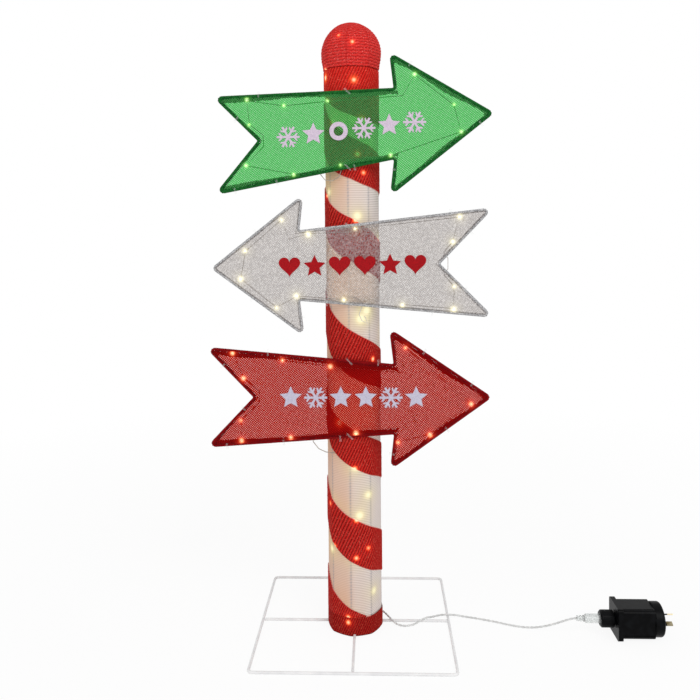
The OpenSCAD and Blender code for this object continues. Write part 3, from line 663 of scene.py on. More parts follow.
class Forms:
    """The Geometry Nodes trees that the pieces share."""

    grain_scale: float = 260.0
    core_sides: int = 10
    thread_sides: int = 4
    points_per_turn: float = 6.0
    fibre_tilt: float = 0.5
    fibre_turn: float = 3.1
    wire_sides: int = 16
    wire_waist: float = 0.58
    lamp_sides: int = 12
    lamp_rings: int = 8
    ray_length: float = 0.1
    glint_seed: int = 4
    push_seed: int = 9
    pile_seed: int = 11
    lean_seed: int = 5

    def __init__(self) -> None:
        """Builds every tree once."""
        self.ridged = self._ridged()
        self.net = self._net()
        self.wound = self._wound()
        self.pile = self._pile()
        self.lamps = self._lamps()
        self.twisted = self._twisted()

    def _ridged(self) -> Form:
        """Builds the tree of the ridged cloth.

        Returns:
            The tree that raises a cloth into even ridges along its attribute 'along'.
        """
        f = Form("Ridged Cloth")
        pitch, depth = f.size("Pitch", 0.0036), f.size("Depth", 0.0005)
        turns = f.math("MULTIPLY", f.math("DIVIDE", f.named("along"), pitch), math.pi)
        ridge = f.math("ABSOLUTE", f.math("SINE", turns))
        uneven = f.made("ShaderNodeTexNoise", Scale=self.grain_scale)
        height = f.math("MULTIPLY", ridge, f.math("MULTIPLY", depth, f.math("ADD", uneven, 0.5)))
        stored = f.keep(f.given, "ridge", f.math("MULTIPLY", ridge, f.named("skin")))
        offset = f.scaled(f.normal(), f.math("MULTIPLY", height, f.named("skin")))
        f.close(f.made("GeometryNodeSetPosition", Geometry=stored, Offset=offset))
        return f

    def _net(self) -> Form:
        """Builds the tree of the glitter net.

        Returns:
            The tree that cuts a net of glittering threads to a flat outline that faces the front.
        """
        f = Form("Glitter Net")
        pitch, gap = f.size("Pitch", 0.0024), f.size("Gap Share", 0.3)
        depth, span, turn = f.size("Depth", 0.0003), f.size("Span", 0.5), f.size("Turn", 0.8)
        across, up, at_y = f.size("Middle X", 0.0), f.size("Middle Z", 0.0), f.size("Plane Y", 0.0)
        count = f.math("ROUND", f.math("DIVIDE", span, pitch))
        grid = f.made("GeometryNodeMeshGrid", Size_X=span, Size_Y=span, Vertices_X=count, Vertices_Y=count)
        raised = f.feed(f.add("GeometryNodeExtrudeMesh", mode="FACES"), Mesh=grid, Offset_Scale=0.0).outputs
        shrunk = f.made("GeometryNodeScaleElements", Geometry=raised["Mesh"], Selection=raised["Top"],
                        Scale=gap)
        threads = f.without(shrunk, raised["Top"])
        step = f.math("DIVIDE", span, f.math("SUBTRACT", count, 1.0))
        flat = f.feed(f.add("ShaderNodeSeparateXYZ"), Vector=f.here()).outputs
        sides = []
        for axis in ("X", "Y"):
            cell = f.math("DIVIDE", f.math("ADD", flat[axis], f.math("MULTIPLY", span, 0.5)), step)
            sides.append(f.math("ABSOLUTE", f.math("SUBTRACT", f.math("FRACT", cell), 0.5)))
        woven = f.keep(threads, "weft", f.math("GREATER_THAN", *sides), "FACE")
        angles = f.made("ShaderNodeCombineXYZ", X=math.pi / 2, Y=turn)
        place = f.made("ShaderNodeCombineXYZ", X=across, Y=at_y, Z=up)
        stood = f.made("GeometryNodeTransform", Geometry=woven, Rotation=angles, Translation=place)
        before = f.vector("ADD", f.here(), (0.0, -self.ray_length / 2, 0.0))
        ray = f.feed(f.add("GeometryNodeRaycast"), Target_Geometry=f.given, Source_Position=before,
                     Ray_Direction=(0.0, 1.0, 0.0), Ray_Length=self.ray_length)
        missed = f.add("FunctionNodeBooleanMath", operation="NOT")
        outside = f.feed(missed, in0=ray.outputs["Is Hit"]).outputs[0]
        nearby = f.add("GeometryNodeProximity", target_element="EDGES")
        edge = f.feed(nearby, in0=f.given).outputs["Distance"]
        measured = f.keep(f.without(stood, outside), "rim", edge)
        sparkled = f.keep(measured, "glint", f.chance(self.glint_seed), "FACE")
        push = f.math("MULTIPLY", f.math("SUBTRACT", f.chance(self.push_seed), 0.5), depth)
        offset = f.made("ShaderNodeCombineXYZ", Y=push)
        f.close(f.made("GeometryNodeSetPosition", Geometry=sparkled, Offset=offset))
        return f

    def _wound(self) -> Form:
        """Builds the tree of the wound thread.

        Returns:
            The tree that winds thread round a line, over a core.
        """
        f = Form("Wound Thread")
        radius, thread = f.size("Radius", 0.002), f.size("Thread", 0.0005)
        turns, step = f.size("Turns", 400.0), f.size("Step", 0.003)
        line = f.made("GeometryNodeMeshToCurve", in0=f.given)
        ring = f.made("GeometryNodeCurvePrimitiveCircle", Resolution=self.core_sides, Radius=radius)
        core = f.tube(f.resampled(line, "LENGTH", Length=step), ring)
        fine = f.resampled(line, "COUNT", Count=f.math("MULTIPLY", turns, self.points_per_turn))
        share = f.add("GeometryNodeSplineParameter").outputs["Factor"]
        angle = f.math("MULTIPLY", f.math("MULTIPLY", share, turns), math.tau)
        normal = f.normal()
        cross = f.vector("CROSS_PRODUCT", normal, f.add("GeometryNodeInputTangent").outputs[0])
        out = f.scaled(normal, f.math("MULTIPLY", f.math("COSINE", angle), radius))
        side = f.scaled(cross, f.math("MULTIPLY", f.math("SINE", angle), radius))
        coil = f.made("GeometryNodeSetPosition", Geometry=fine, Offset=f.vector("ADD", out, side))
        small = f.made("GeometryNodeCurvePrimitiveCircle", Resolution=self.thread_sides, Radius=thread)
        both = f.add("GeometryNodeJoinGeometry")
        for part in (core, f.tube(coil, small)):
            f.feed(both, Geometry=part)
        f.close(both.outputs[0])
        return f

    def _pile(self) -> Form:
        """Builds the tree of the tinsel pile.

        Returns:
            The tree that scatters loose tinsel fibres over a cloth.
        """
        f = Form("Tinsel Pile")
        density, length, width = f.size("Density", 50000.0), f.size("Length", 0.004), f.size("Width", 0.0002)
        scatter = f.add("GeometryNodeDistributePointsOnFaces")
        spots = f.feed(scatter, Mesh=f.given, Density=density, Seed=self.pile_seed).outputs
        fibre = f.made("GeometryNodeMeshGrid", Size_X=width, Size_Y=length, Vertices_X=2, Vertices_Y=3)
        tilt = self.fibre_tilt
        lean = f.feed(f.add("FunctionNodeRandomValue", data_type="FLOAT_VECTOR"), in0=(-tilt, -tilt, 0.0),
                      in1=(tilt, tilt, self.fibre_turn), Seed=self.lean_seed).outputs[0]
        facing = f.feed(f.add("FunctionNodeRotateRotation", rotation_space="LOCAL"),
                        Rotation=spots["Rotation"], Rotate_By=lean).outputs[0]
        f.close(f.made("GeometryNodeInstanceOnPoints", Points=spots[0], Instance=fibre, Rotation=facing))
        return f

    def _lamps(self) -> Form:
        """Builds the tree of the lamps.

        Returns:
            The tree that sets one lamp on each point, turned to its attribute 'aim'.
        """
        f = Form("Lamp On Each Point")
        radius, length = f.size("Radius", 0.0015), f.size("Length", 0.003)
        bulb = f.made("GeometryNodeMeshUVSphere", Segments=self.lamp_sides, Rings=self.lamp_rings,
                      Radius=radius)
        long = f.made("ShaderNodeCombineXYZ", X=1.0, Y=1.0, Z=f.math("DIVIDE", length, radius))
        dome = f.made("GeometryNodeTransform", Geometry=bulb, Scale=long)
        height = f.feed(f.add("ShaderNodeSeparateXYZ"), Vector=f.here()).outputs["Z"]
        tip = f.math("ADD", f.math("DIVIDE", height, f.math("MULTIPLY", length, 2.0)), 0.5)
        shaded = f.keep(dome, "tip", tip)
        aim = f.add("FunctionNodeAlignRotationToVector", axis="Z")
        turned = f.feed(aim, Vector=f.named("aim", "FLOAT_VECTOR")).outputs[0]
        f.close(f.made("GeometryNodeInstanceOnPoints", Points=f.given, Instance=shaded, Rotation=turned))
        return f

    def _twisted(self) -> Form:
        """Builds the tree of the twisted pair.

        Returns:
            The tree that makes a twisted pair of wires along a line.
        """
        f = Form("Twisted Pair")
        radius, pitch, step = f.size("Radius", 0.0015), f.size("Lay", 0.014), f.size("Step", 0.001)
        even = f.resampled(f.made("GeometryNodeMeshToCurve", in0=f.given), "LENGTH", Length=step)
        run = f.add("GeometryNodeSplineParameter").outputs["Length"]
        tilt = f.math("MULTIPLY", f.math("DIVIDE", run, pitch), math.tau)
        tilted = f.made("GeometryNodeSetCurveTilt", Curve=even, Tilt=tilt)
        ring = f.made("GeometryNodeCurvePrimitiveCircle", Resolution=self.wire_sides, Radius=radius)
        here = f.here()
        parts = f.feed(f.add("ShaderNodeSeparateXYZ"), Vector=here).outputs
        waist = f.math("ABSOLUTE", f.math("DIVIDE", parts["X"], radius))
        shape = f.math("ADD", f.math("MULTIPLY", waist, 1 - self.wire_waist), self.wire_waist)
        pinched = f.made("GeometryNodeSetPosition", Geometry=ring, Position=f.scaled(here, shape))
        f.close(f.tube(tilted, pinched, True))
        return f


class Workshop:
    """Makes objects from points in millimetres and hands them to the frame."""

    def __init__(self) -> None:
        """Builds the shared trees."""
        self.forms = Forms()

    @staticmethod
    def mesh(name: str, points: np.ndarray, faces: list, edges: list | None = None,
             smooth: bool = True) -> bpy.types.Object:
        """Makes a mesh object.

        Args:
            name: Name of the piece.
            points: Its points, in millimetres.
            faces: Its faces as rows of point numbers.
            edges: Its loose edges.
            smooth: True where faces blend into each other.

        Returns:
            The object, in the scene.
        """
        data = bpy.data.meshes.new(name)
        data.from_pydata((np.asarray(points, float) * MM).tolist(), edges or [], faces)
        Workshop.shade(data, smooth)
        data.update()
        return Workshop.put(name, data)

    @staticmethod
    def shade(data: bpy.types.Mesh, smooth: bool = True) -> None:
        """Sets whether all faces blend into each other."""
        data.polygons.foreach_set("use_smooth", [smooth] * len(data.polygons))

    @staticmethod
    def put(name: str, data: bpy.types.ID) -> bpy.types.Object:
        """Puts data into the scene.

        Args:
            name: Name of the object.
            data: Its mesh, camera or light.

        Returns:
            The object that carries it.
        """
        piece = bpy.data.objects.new(name, data)
        bpy.context.scene.collection.objects.link(piece)
        return piece

    @staticmethod
    def grid(rows: int, columns: int, closed: bool) -> list[tuple[int, int, int, int]]:
        """Lists the faces of a grid of points.

        Args:
            rows: Number of rows.
            columns: Points in each row.
            closed: True where a row meets its own start.

        Returns:
            Four point numbers for each face.
        """
        last = columns if closed else columns - 1
        return [(i * columns + k, i * columns + (k + 1) % columns, (i + 1) * columns + (k + 1) % columns,
                 (i + 1) * columns + k) for i in range(rows - 1) for k in range(last)]

    @staticmethod
    def mark(piece: bpy.types.Object, **values: np.ndarray) -> None:
        """Stores attributes of a piece.

        Args:
            piece: The piece.
            **values: One number for each of its points, by the attribute's name.
        """
        for name, numbers in values.items():
            layer = piece.data.attributes.new(name, "FLOAT", "POINT")
            layer.data.foreach_set("value", np.asarray(numbers, np.float32).ravel())

    @staticmethod
    def places(piece: bpy.types.Object) -> np.ndarray:
        """Reads a piece's points.

        Args:
            piece: The piece.

        Returns:
            Its points in millimetres.
        """
        flat = np.empty(len(piece.data.vertices) * 3, np.float32)
        piece.data.vertices.foreach_get("co", flat)
        return flat.reshape(-1, 3) / MM

    @staticmethod
    def hand_over(piece: bpy.types.Object, slot: str, *nodes: str) -> bpy.types.Object:
        """Gives a finished piece to the frame.

        Args:
            piece: The finished piece.
            slot: The record's slot that its finish belongs to; not used.
            *nodes: CAD nodes that it stands for.

        Returns:
            The piece.
        """
        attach(piece, BODY)
        if nodes:
            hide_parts(*nodes)
        LOG.info("%s: %d faces", piece.name, len(piece.data.polygons))
        return piece

    @staticmethod
    def dress(material: bpy.types.Material, *nodes: str) -> None:
        """Puts a finish on CAD nodes that keep their mesh.

        Args:
            material: The finish.
            *nodes: Names of the nodes.
        """
        for node in nodes:
            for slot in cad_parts[node].material_slots:
                slot.material = material
            LOG.info("%s: %s", node, material.name)


@dataclass
class Lamps:
    """The lamps of one string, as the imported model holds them."""

    node: str
    reach: float = 9.0
    slack: float = 5.0
    flicker: float = 0.2
    flicker_step: float = 2.4
    centres: np.ndarray = field(default_factory=lambda: np.zeros((0, 3)))

    def find(self) -> "Lamps":
        """Reads where the lamps are.

        Returns:
            Itself, with one centre for each lamp.
        """
        rest = Workshop.places(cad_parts[self.node])
        found = []
        while len(rest):
            near = np.linalg.norm(rest - rest[0], axis=1) < self.reach
            found.append((rest[near].min(axis=0) + rest[near].max(axis=0)) / 2)
            rest = rest[~near]
        self.centres = np.array(found)
        return self

    def glow(self, points: np.ndarray, core: float, halo: float, halo_share: float) -> np.ndarray:
        """Works out how bright the lamps make a cloth.

        Args:
            points: The cloth's points.
            core: Radius of the bright middle.
            halo: Radius of the soft light round it.
            halo_share: Brightness of that light against the middle.

        Returns:
            A share from 0 to 1 for each point.
        """
        light = np.zeros(len(points))
        for index, centre in enumerate(self.centres):
            far = np.linalg.norm(points - centre, axis=1)
            if far.min() > self.reach + self.slack:
                continue
            away = np.linalg.norm(points - points[far.argmin()], axis=1)
            power = 1 - self.flicker + self.flicker * math.sin(index * self.flicker_step)
            light += power * (np.exp(-(away / core) ** 2) + halo_share * np.exp(-(away / halo) ** 2))
        return np.clip(light, 0, 1)


@dataclass
class PostShape:
    """Form of the ribbed post and its ball, in millimetres and degrees."""

    radius: float = 40.0
    height: float = 826.0
    forward: float = 4.0
    foot: float = 4.25
    top: float = 825.75
    wires: int = 8
    rib_turn: float = -6.6
    dip: float = 0.035
    ball_middle: float = 851.0
    ball_radius: float = 45.0
    ball_low_radius: float = 65.0
    ball_rise: float = 25.0

    def across_panel(self, angle: np.ndarray) -> np.ndarray:
        """Returns -1 to 1 over each panel between two ribs."""
        return ((angle - self.rib_turn) / (360 / self.wires)) % 1 * 2 - 1

    def place(self, angle: np.ndarray, radius: np.ndarray, z: np.ndarray) -> np.ndarray:
        """Places points round the post.

        Args:
            angle: Degrees from the front towards +X.
            radius: Distance from the middle at a rib.
            z: Height.

        Returns:
            One point for each.
        """
        share = 1 - self.dip * (1 - self.across_panel(angle) ** 2)
        turn = np.radians(angle)
        return np.stack([radius * share * np.sin(turn), -self.forward - radius * share * np.cos(turn),
                         z + 0 * angle], axis=-1).reshape(-1, 3)

    def ball_wall(self, z: np.ndarray) -> np.ndarray:
        """Works out the ball's outline.

        Args:
            z: Heights.

        Returns:
            Its radius at each of them.
        """
        over = np.sqrt(np.maximum(0, self.ball_radius ** 2 - (z - self.ball_middle) ** 2))
        under = self.ball_radius - self.ball_low_radius + np.sqrt(
            self.ball_low_radius ** 2 - (self.ball_middle - np.minimum(z, self.ball_middle)) ** 2)
        return np.where(z >= self.ball_middle, over, under)


@dataclass
class SignLight:
    """Warm light between the post and the signs that hang in front of it, painted as a glow on the post's
    cloth.
    """

    spans: tuple = ((297, 388, 0.75), (490, 590, 0.6), (690, 782, 0.35))
    softness: float = 4.0
    front: float = 8.0
    reach: float = 26.0

    def share(self, points: np.ndarray) -> np.ndarray:
        """Works out how much of that light reaches each point.

        Args:
            points: Points of the post's cloth.

        Returns:
            A share from 0 to 1 for each.
        """
        z = points[:, 2]
        light = np.zeros(len(points))
        for low, high, power in self.spans:
            light += power * fade(z, low, self.softness) * fade(z, high, -self.softness)
        return light * np.clip((-points[:, 1] - self.front) / self.reach, 0, 1)


@dataclass
class Sleeve:
    """The white knitted sleeve over the post's cage."""

    shape: PostShape
    shop: Workshop
    lamps: Lamps
    light: SignLight
    row_pitch: float = 2.5
    row_depth: float = 0.45
    columns_per_panel: int = 16
    lap: int = 2
    lap_lift: float = 0.25
    rib_shadow_width: float = 1.3
    dash_middle: float = 0.55
    dash_waver: float = 0.3
    lit_from: float = -150.0
    lit_from_soft: float = 8.0
    lit_to: float = -6.6
    lit_to_soft: float = 4.0
    lit_warmth: float = 0.52
    base_warm_light: float = 0.3
    shade_from: float = 30.0
    shade_soft: float = 6.0
    shade_depth: float = 0.2
    warm_waver: float = 0.15
    warm_wave: float = 21.0
    core: float = 5.0
    halo: float = 17.0
    halo_share: float = 0.45

    def build(self) -> bpy.types.Object:
        """Returns:
            The piece.
        """
        round_it = self.shape.wires * self.columns_per_panel
        columns = np.arange(round_it + 1 + self.lap)[None, :]
        rows = int((self.shape.top - self.shape.foot) / self.row_pitch * 2)
        z = np.linspace(self.shape.foot, self.shape.top, rows)[:, None]
        angle = self.shape.rib_turn + 180 + columns * 360 / round_it + 0 * z
        lap = np.where(columns >= round_it, self.lap_lift, 0)
        radius = self.shape.radius - self.row_depth + lap + 0 * z
        points = self.shape.place(angle, radius, z)
        piece = self.shop.mesh("knitted_sleeve", points, self.shop.grid(rows, columns.size, False))
        arc = math.tau * self.shape.radius / self.shape.wires
        from_rib = (1 - np.abs(self.shape.across_panel(angle))) * arc / 2
        wrapped = (angle + 180) % 360 - 180
        # The 'warm' attribute is painted warm light from the lamps inside: some on every panel, more on the
        # left from lit_from to lit_to, less on the right where shade_depth paints shade, wavering with the
        # height.
        started = fade(wrapped, self.lit_from, self.lit_from_soft)
        inside = fade(wrapped, self.lit_to, -self.lit_to_soft) * started
        shade = self.shade_depth * fade(wrapped, self.shade_from, self.shade_soft)
        patches = 1 - self.warm_waver + self.warm_waver * np.sin(z / self.warm_wave)
        warm = (self.base_warm_light - shade + self.lit_warmth * inside) * patches
        # The 'rib' attribute is the painted shadow of the cage's wires, in dashes from row to row.
        row = np.arange(rows)[:, None]
        rib_shadow_dashes = self.dash_middle + self.dash_waver * np.cos(row * math.pi / 2)
        stitch = row * self.row_pitch / 2
        self.shop.mark(piece, along=(stitch + 0 * angle) * MM, skin=np.ones(len(points)),
                       rib=np.exp(-(from_rib / self.rib_shadow_width) ** 2) * rib_shadow_dashes, warm=warm,
                       glow=self.lamps.glow(points, self.core, self.halo, self.halo_share),
                       blush=self.light.share(points))
        self.shop.forms.ridged.run(piece, KnitCloth().make(), Pitch=self.row_pitch * MM,
                                   Depth=self.row_depth * MM)
        self.shop.hand_over(piece, "white_cloth", "post_sleeve")
        return piece


@dataclass
class SpiralBand:
    """The red tinsel band wound round the sleeve, and the hem round its foot."""

    shape: PostShape
    shop: Workshop
    lamps: Lamps
    light: SignLight
    finish: bpy.types.Material
    hem_finish: bpy.types.Material
    top_edge: tuple = (38, 173, 303, 446, 609, 725, 880)
    low_edge: tuple = (-32, 107, 247, 378, 546, 664, 756)
    climb: float = 16.0
    top_ease: float = 3.0
    low_ease: float = 8.0
    start: float = -0.074
    settling: int = 6
    touch: float = 0.01
    last_turn: float = 0.9
    least_width: float = 0.4
    hem_top: float = 28.0
    hem_rows: int = 16
    hem_gap: float = 0.03
    foot_gap: float = 0.3
    thickness: float = 0.9
    edge_thickness: float = 0.05
    fold_share: float = 0.75
    sewn_rim: float = 9.0
    clear: float = 0.25
    ribs_round: int = 70
    rib_depth: float = 0.55
    lean: float = 26.0
    columns_per_rib: int = 3
    rows: int = 46
    core: float = 3.0
    halo: float = 8.0
    halo_share: float = 0.3
    lit_neck: float = 785.0
    neck_soft: float = 8.0
    neck_light: float = 0.17
    sign_light: float = 0.3
    edge_highlight_heights: tuple = (20.0, 800.0)
    flat_width: float = 0.13
    flat_share: float = 0.93
    fibres_per_m2: float = 42000.0
    fibre_length: float = 3.4
    fibre_width: float = 0.22

    def edge(self, heights: tuple, turn: np.ndarray, ease: float) -> np.ndarray:
        """Works out an edge of the band.

        Args:
            heights: Its height at each whole turn.
            turn: Turns from the start.
            ease: How far it swings up on the right.

        Returns:
            Its height at each of them.
        """
        low = np.clip(np.floor(turn), 0, len(heights) - 2).astype(int)
        known = np.array(heights, float)
        angle = (-360 * turn) % 360
        sway = np.sin(np.radians(angle))
        rise = np.where(angle > 180, self.climb * sway ** 4, ease * sway ** 3)
        return known[low] + (known[low + 1] - known[low]) * (turn - low) + rise

    def high(self, turn: np.ndarray) -> np.ndarray:
        """Returns the top edge, held under the ball."""
        return np.minimum(self.shape.top, self.edge(self.top_edge, turn, self.top_ease))

    def low(self, turn: np.ndarray) -> np.ndarray:
        """Returns the lower edge, held over the hem."""
        return np.maximum(self.hem_top + self.clear, self.edge(self.low_edge, turn, self.low_ease))

    def cloth(self, name: str, start: np.ndarray, foot: np.ndarray, head: np.ndarray, rows: int,
              sewn: np.ndarray, closed: bool) -> bpy.types.Object:
        """Builds a ribbed cloth whose ribs lean.

        Args:
            name: Name of the piece.
            start: Angle of each column at its foot.
            foot: Height of each column's foot.
            head: Height of each column's head.
            rows: Number of rows.
            sewn: Whether each column's edge runs on into the next cloth instead of being turned in.
            closed: True where it closes round the post.

        Returns:
            The ridged piece.
        """
        share = np.linspace(0, 1, rows)[:, None]
        z = foot[None, :] + (head - foot)[None, :] * share
        angle = start[None, :] + (z - foot[None, :]) * self.degrees_per_mm()
        joint = share if closed else 1 - share
        from_edge = np.minimum(share, 1 - share) * (rows - 1)
        rim = np.where(sewn[None, :] & (joint > 0.5), self.sewn_rim, from_edge)
        inner = np.where(rim < 1.5, self.fold_share * self.thickness, self.thickness)
        turned_in = np.where(rim < 0.5, self.edge_thickness, inner)
        radius = self.shape.radius + turned_in + 0 * z
        points = self.shape.place(angle, radius, z)
        piece = self.shop.mesh(name, points, self.shop.grid(rows, len(start), closed))
        arc = np.arange(len(start)) / self.columns_per_rib * self.pitch()
        # Painted glow on the band: even near the neck and where the signs hang in front, plus the lamps'
        # halos.
        even = self.neck_light * fade(points[:, 2], self.lit_neck, self.neck_soft)
        even += self.sign_light * self.light.share(points)
        spots = self.lamps.glow(points, self.core, self.halo, self.halo_share)
        skin = np.clip(rim, 0, 1)
        # A painted highlight along the cloth's turned-in edges, between two heights.
        self.shop.mark(piece, along=(arc[None, :] + 0 * z) * MM, skin=skin + 0 * z,
                       edging=np.where((z > self.edge_highlight_heights[0]) & (z < self.edge_highlight_heights[1]), 1 - skin, 0),
                       glow=np.clip(spots + even, 0, 1))
        finish = self.hem_finish if closed else self.finish
        self.shop.forms.ridged.run(piece, finish, Pitch=self.pitch() * MM, Depth=self.rib_depth * MM)
        return piece

    def pitch(self) -> float:
        """Returns the way round from rib to rib."""
        return math.tau * self.shape.radius / self.ribs_round

    def degrees_per_mm(self) -> float:
        """Returns how far a rib turns for each millimetre that it rises."""
        return math.degrees(math.tan(math.radians(self.lean)) / self.shape.radius)

    def build(self) -> bpy.types.Object:
        """Returns:
            The band.
        """
        step = 1 / (self.ribs_round * self.columns_per_rib)
        turn = self.start + np.arange(int((len(self.top_edge) - 0.5 - self.start) / step)) * step
        turn = turn[self.high(turn) - self.low(turn) > 0.5]
        foot = self.low(turn)
        head = self.high(turn)
        for _ in range(self.settling):
            head = self.high(turn - (head - foot) * self.degrees_per_mm() / 360)
        head = np.maximum(head, foot + self.least_width)
        seam = self.hem_top + self.clear
        band = self.cloth("spiral_cloth", -360 * turn[::-1], foot[::-1], head[::-1], self.rows,
                          foot[::-1] < seam + self.touch, False)
        self.shop.hand_over(band, "red_tinsel", "spiral_band")
        shift = -360 * turn[-1] - (seam - self.foot_gap) * self.degrees_per_mm()
        round_angles = np.arange(self.ribs_round * self.columns_per_rib) * 360 * step + shift
        ground = np.zeros(len(round_angles))
        top_angles = (-(round_angles + (self.hem_top - self.foot_gap) * self.degrees_per_mm()) / 360) % 1
        over_hem = np.where(top_angles > self.last_turn, top_angles - 1, top_angles)
        under_band = self.edge(self.top_edge, over_hem, self.top_ease) > seam + 0.5
        hem = self.cloth("hem_cloth", round_angles, ground + self.foot_gap, ground + seam - self.hem_gap,
                         self.hem_rows, under_band, True)
        self.shop.hand_over(hem, "red_tinsel", "foot_hem")
        fuzz = self.fuzz(band)
        return band

    def fuzz(self, cloth: bpy.types.Object) -> bpy.types.Object:
        """Builds the loose fibres of a tinsel cloth.

        Args:
            cloth: The cloth that they grow from.

        Returns:
            The fibres as a piece.
        """
        host = self.shop.put(cloth.name + "_fibres", cloth.data.copy())
        self.shop.forms.pile.run(host, self.finish, Density=self.fibres_per_m2, Length=self.fibre_length * MM,
                                 Width=self.fibre_width * MM)
        return self.shop.hand_over(host, "red_tinsel")


@dataclass
class Ball:
    """The red ball on the post's head, with rows of tinsel between eight ribs."""

    shape: PostShape
    shop: Workshop
    lamps: Lamps
    finish: bpy.types.Material
    row_pitch: float = 4.3
    row_depth: float = 0.8
    row_waver: float = 0.5
    # Each wave of the rows: how many go round the ball, its share, and its drift over the height.
    waves: tuple = ((24, 1.0, 3.0), (41, 0.6, math.inf))
    columns: int = 160
    crown_gap: float = 1.0
    crown_dip: float = 0.4
    seam_width: float = 0.9
    lip: float = 1.5
    lip_height: float = 5.0
    core: float = 2.4
    halo: float = 7.0
    halo_share: float = 0.3
    sheet_share: float = 0.72

    def build(self) -> bpy.types.Object:
        """Returns:
            The piece.
        """
        arc = self.shape.ball_rise + self.shape.ball_radius * math.pi / 2
        run = np.arange(0, arc - self.crown_gap, self.row_pitch / 4)
        low = run < self.shape.ball_rise
        over = (run - self.shape.ball_rise) / self.shape.ball_radius
        round_z = self.shape.ball_middle + self.shape.ball_radius * np.sin(over)
        z = np.where(low, self.shape.height + run, round_z)
        wall = self.shape.ball_wall(z) - self.row_depth + self.lip * np.exp(-(run / self.lip_height) ** 2)
        wall[0] = self.shape.radius
        angle = self.shape.rib_turn + np.arange(self.columns)[None, :] * 360 / self.columns + 0 * z[:, None]
        points = self.shape.place(angle, wall[:, None] + 0 * angle, z[:, None])
        faces = self.shop.grid(len(run), self.columns, True)
        crown = len(points)
        top = self.shape.ball_middle + self.shape.ball_radius
        points = np.vstack([points, (0.0, -self.shape.forward, top - self.crown_dip)])
        last = (len(run) - 1) * self.columns
        faces += [(last + k, last + (k + 1) % self.columns, crown) for k in range(self.columns)]
        piece = self.shop.mesh("ball_cloth", points, faces)
        wavy = sum(share * np.sin(np.radians(angle) * count + run[:, None] / drift)
                   for count, share, drift in self.waves)
        along = np.append((run[:, None] + self.row_waver * wavy).ravel(), arc)
        skin = np.append(np.repeat(np.clip(run, 0, 1), self.columns), 0)
        arc_share = math.tau / self.shape.wires / 2
        from_seam = (1 - np.abs(self.shape.across_panel(angle))) * arc_share * wall[:, None]
        seam = np.append(np.exp(-(from_seam / self.seam_width) ** 2).ravel(), 0)
        glow = self.lamps.glow(points, self.core, self.halo, self.halo_share)
        self.shop.mark(piece, along=along * MM, skin=skin, seam=seam, glow=glow)
        self.shop.forms.ridged.run(piece, self.finish, Pitch=self.row_pitch * MM, Depth=self.row_depth * MM)
        self.shop.hand_over(piece, "red_tinsel", "ball_cover")
        return piece


@dataclass
class FeltShape:
    """One felt shape, drawn about its middle with a radius of 1."""

    kind: Motif
    star_waist: float = 0.47
    ring_radius: float = 0.8

    def outline(self) -> np.ndarray:
        """Draws the shape.

        Returns:
            The outer edge, anticlockwise.
        """
        if self.kind is Motif.STAR:
            turn = np.arange(10) * math.pi / 5 + math.pi / 2
            reach = np.where(np.arange(10) % 2 == 0, 1.0, self.star_waist)
            return np.stack([reach * np.cos(turn), reach * np.sin(turn)], axis=1)
        if self.kind is Motif.HEART:
            turn = np.linspace(0, math.tau, 37)[:-1]
            x = 16 * np.sin(turn) ** 3
            y = 13 * np.cos(turn) - 5 * np.cos(2 * turn) - 2 * np.cos(3 * turn) - np.cos(4 * turn)
            return np.stack([x, y + 2], axis=1)[::-1] / 17
        if self.kind is Motif.FLAKE:
            return self._flake()
        turn = np.linspace(0, math.tau, 33)[:-1]
        return np.stack([np.cos(turn), np.sin(turn)], axis=1) * self.ring_radius

    @staticmethod
    def _flake() -> np.ndarray:
        """Draws a snow crystal.

        Returns:
            The edge of its six branched arms, anticlockwise.
        """
        w, branch = 0.095, 0.335
        half = [(1.73 * w, w), (0.5, w), (0.7, branch), (0.86, branch), (0.7, w), (1.0, w)]
        arm = [(x, -y) for x, y in half] + half[::-1][:-1]
        points = []
        for i in range(6):
            c, s = math.cos(i * math.pi / 3), math.sin(i * math.pi / 3)
            points += [(x * c - y * s, x * s + y * c) for x, y in arm]
        return np.array(points)

    @staticmethod
    def inward(points: np.ndarray) -> np.ndarray:
        """Works out which way is inwards.

        Args:
            points: The outline, anticlockwise.

        Returns:
            The normal of the side after each point.
        """
        ahead = np.roll(points, -1, axis=0) - points
        ahead /= np.linalg.norm(ahead, axis=1)[:, None]
        return np.stack([-ahead[:, 1], ahead[:, 0]], axis=1)

    @staticmethod
    def inset(points: np.ndarray, depth: float) -> np.ndarray:
        """Moves an anticlockwise outline inwards.

        Args:
            points: The outline.
            depth: How far each side moves.

        Returns:
            The smaller outline.
        """
        normal = FeltShape.inward(points)
        before = np.roll(normal, 1, axis=0)
        return points + (before + normal) * depth / (1 + (before * normal).sum(axis=1))[:, None]


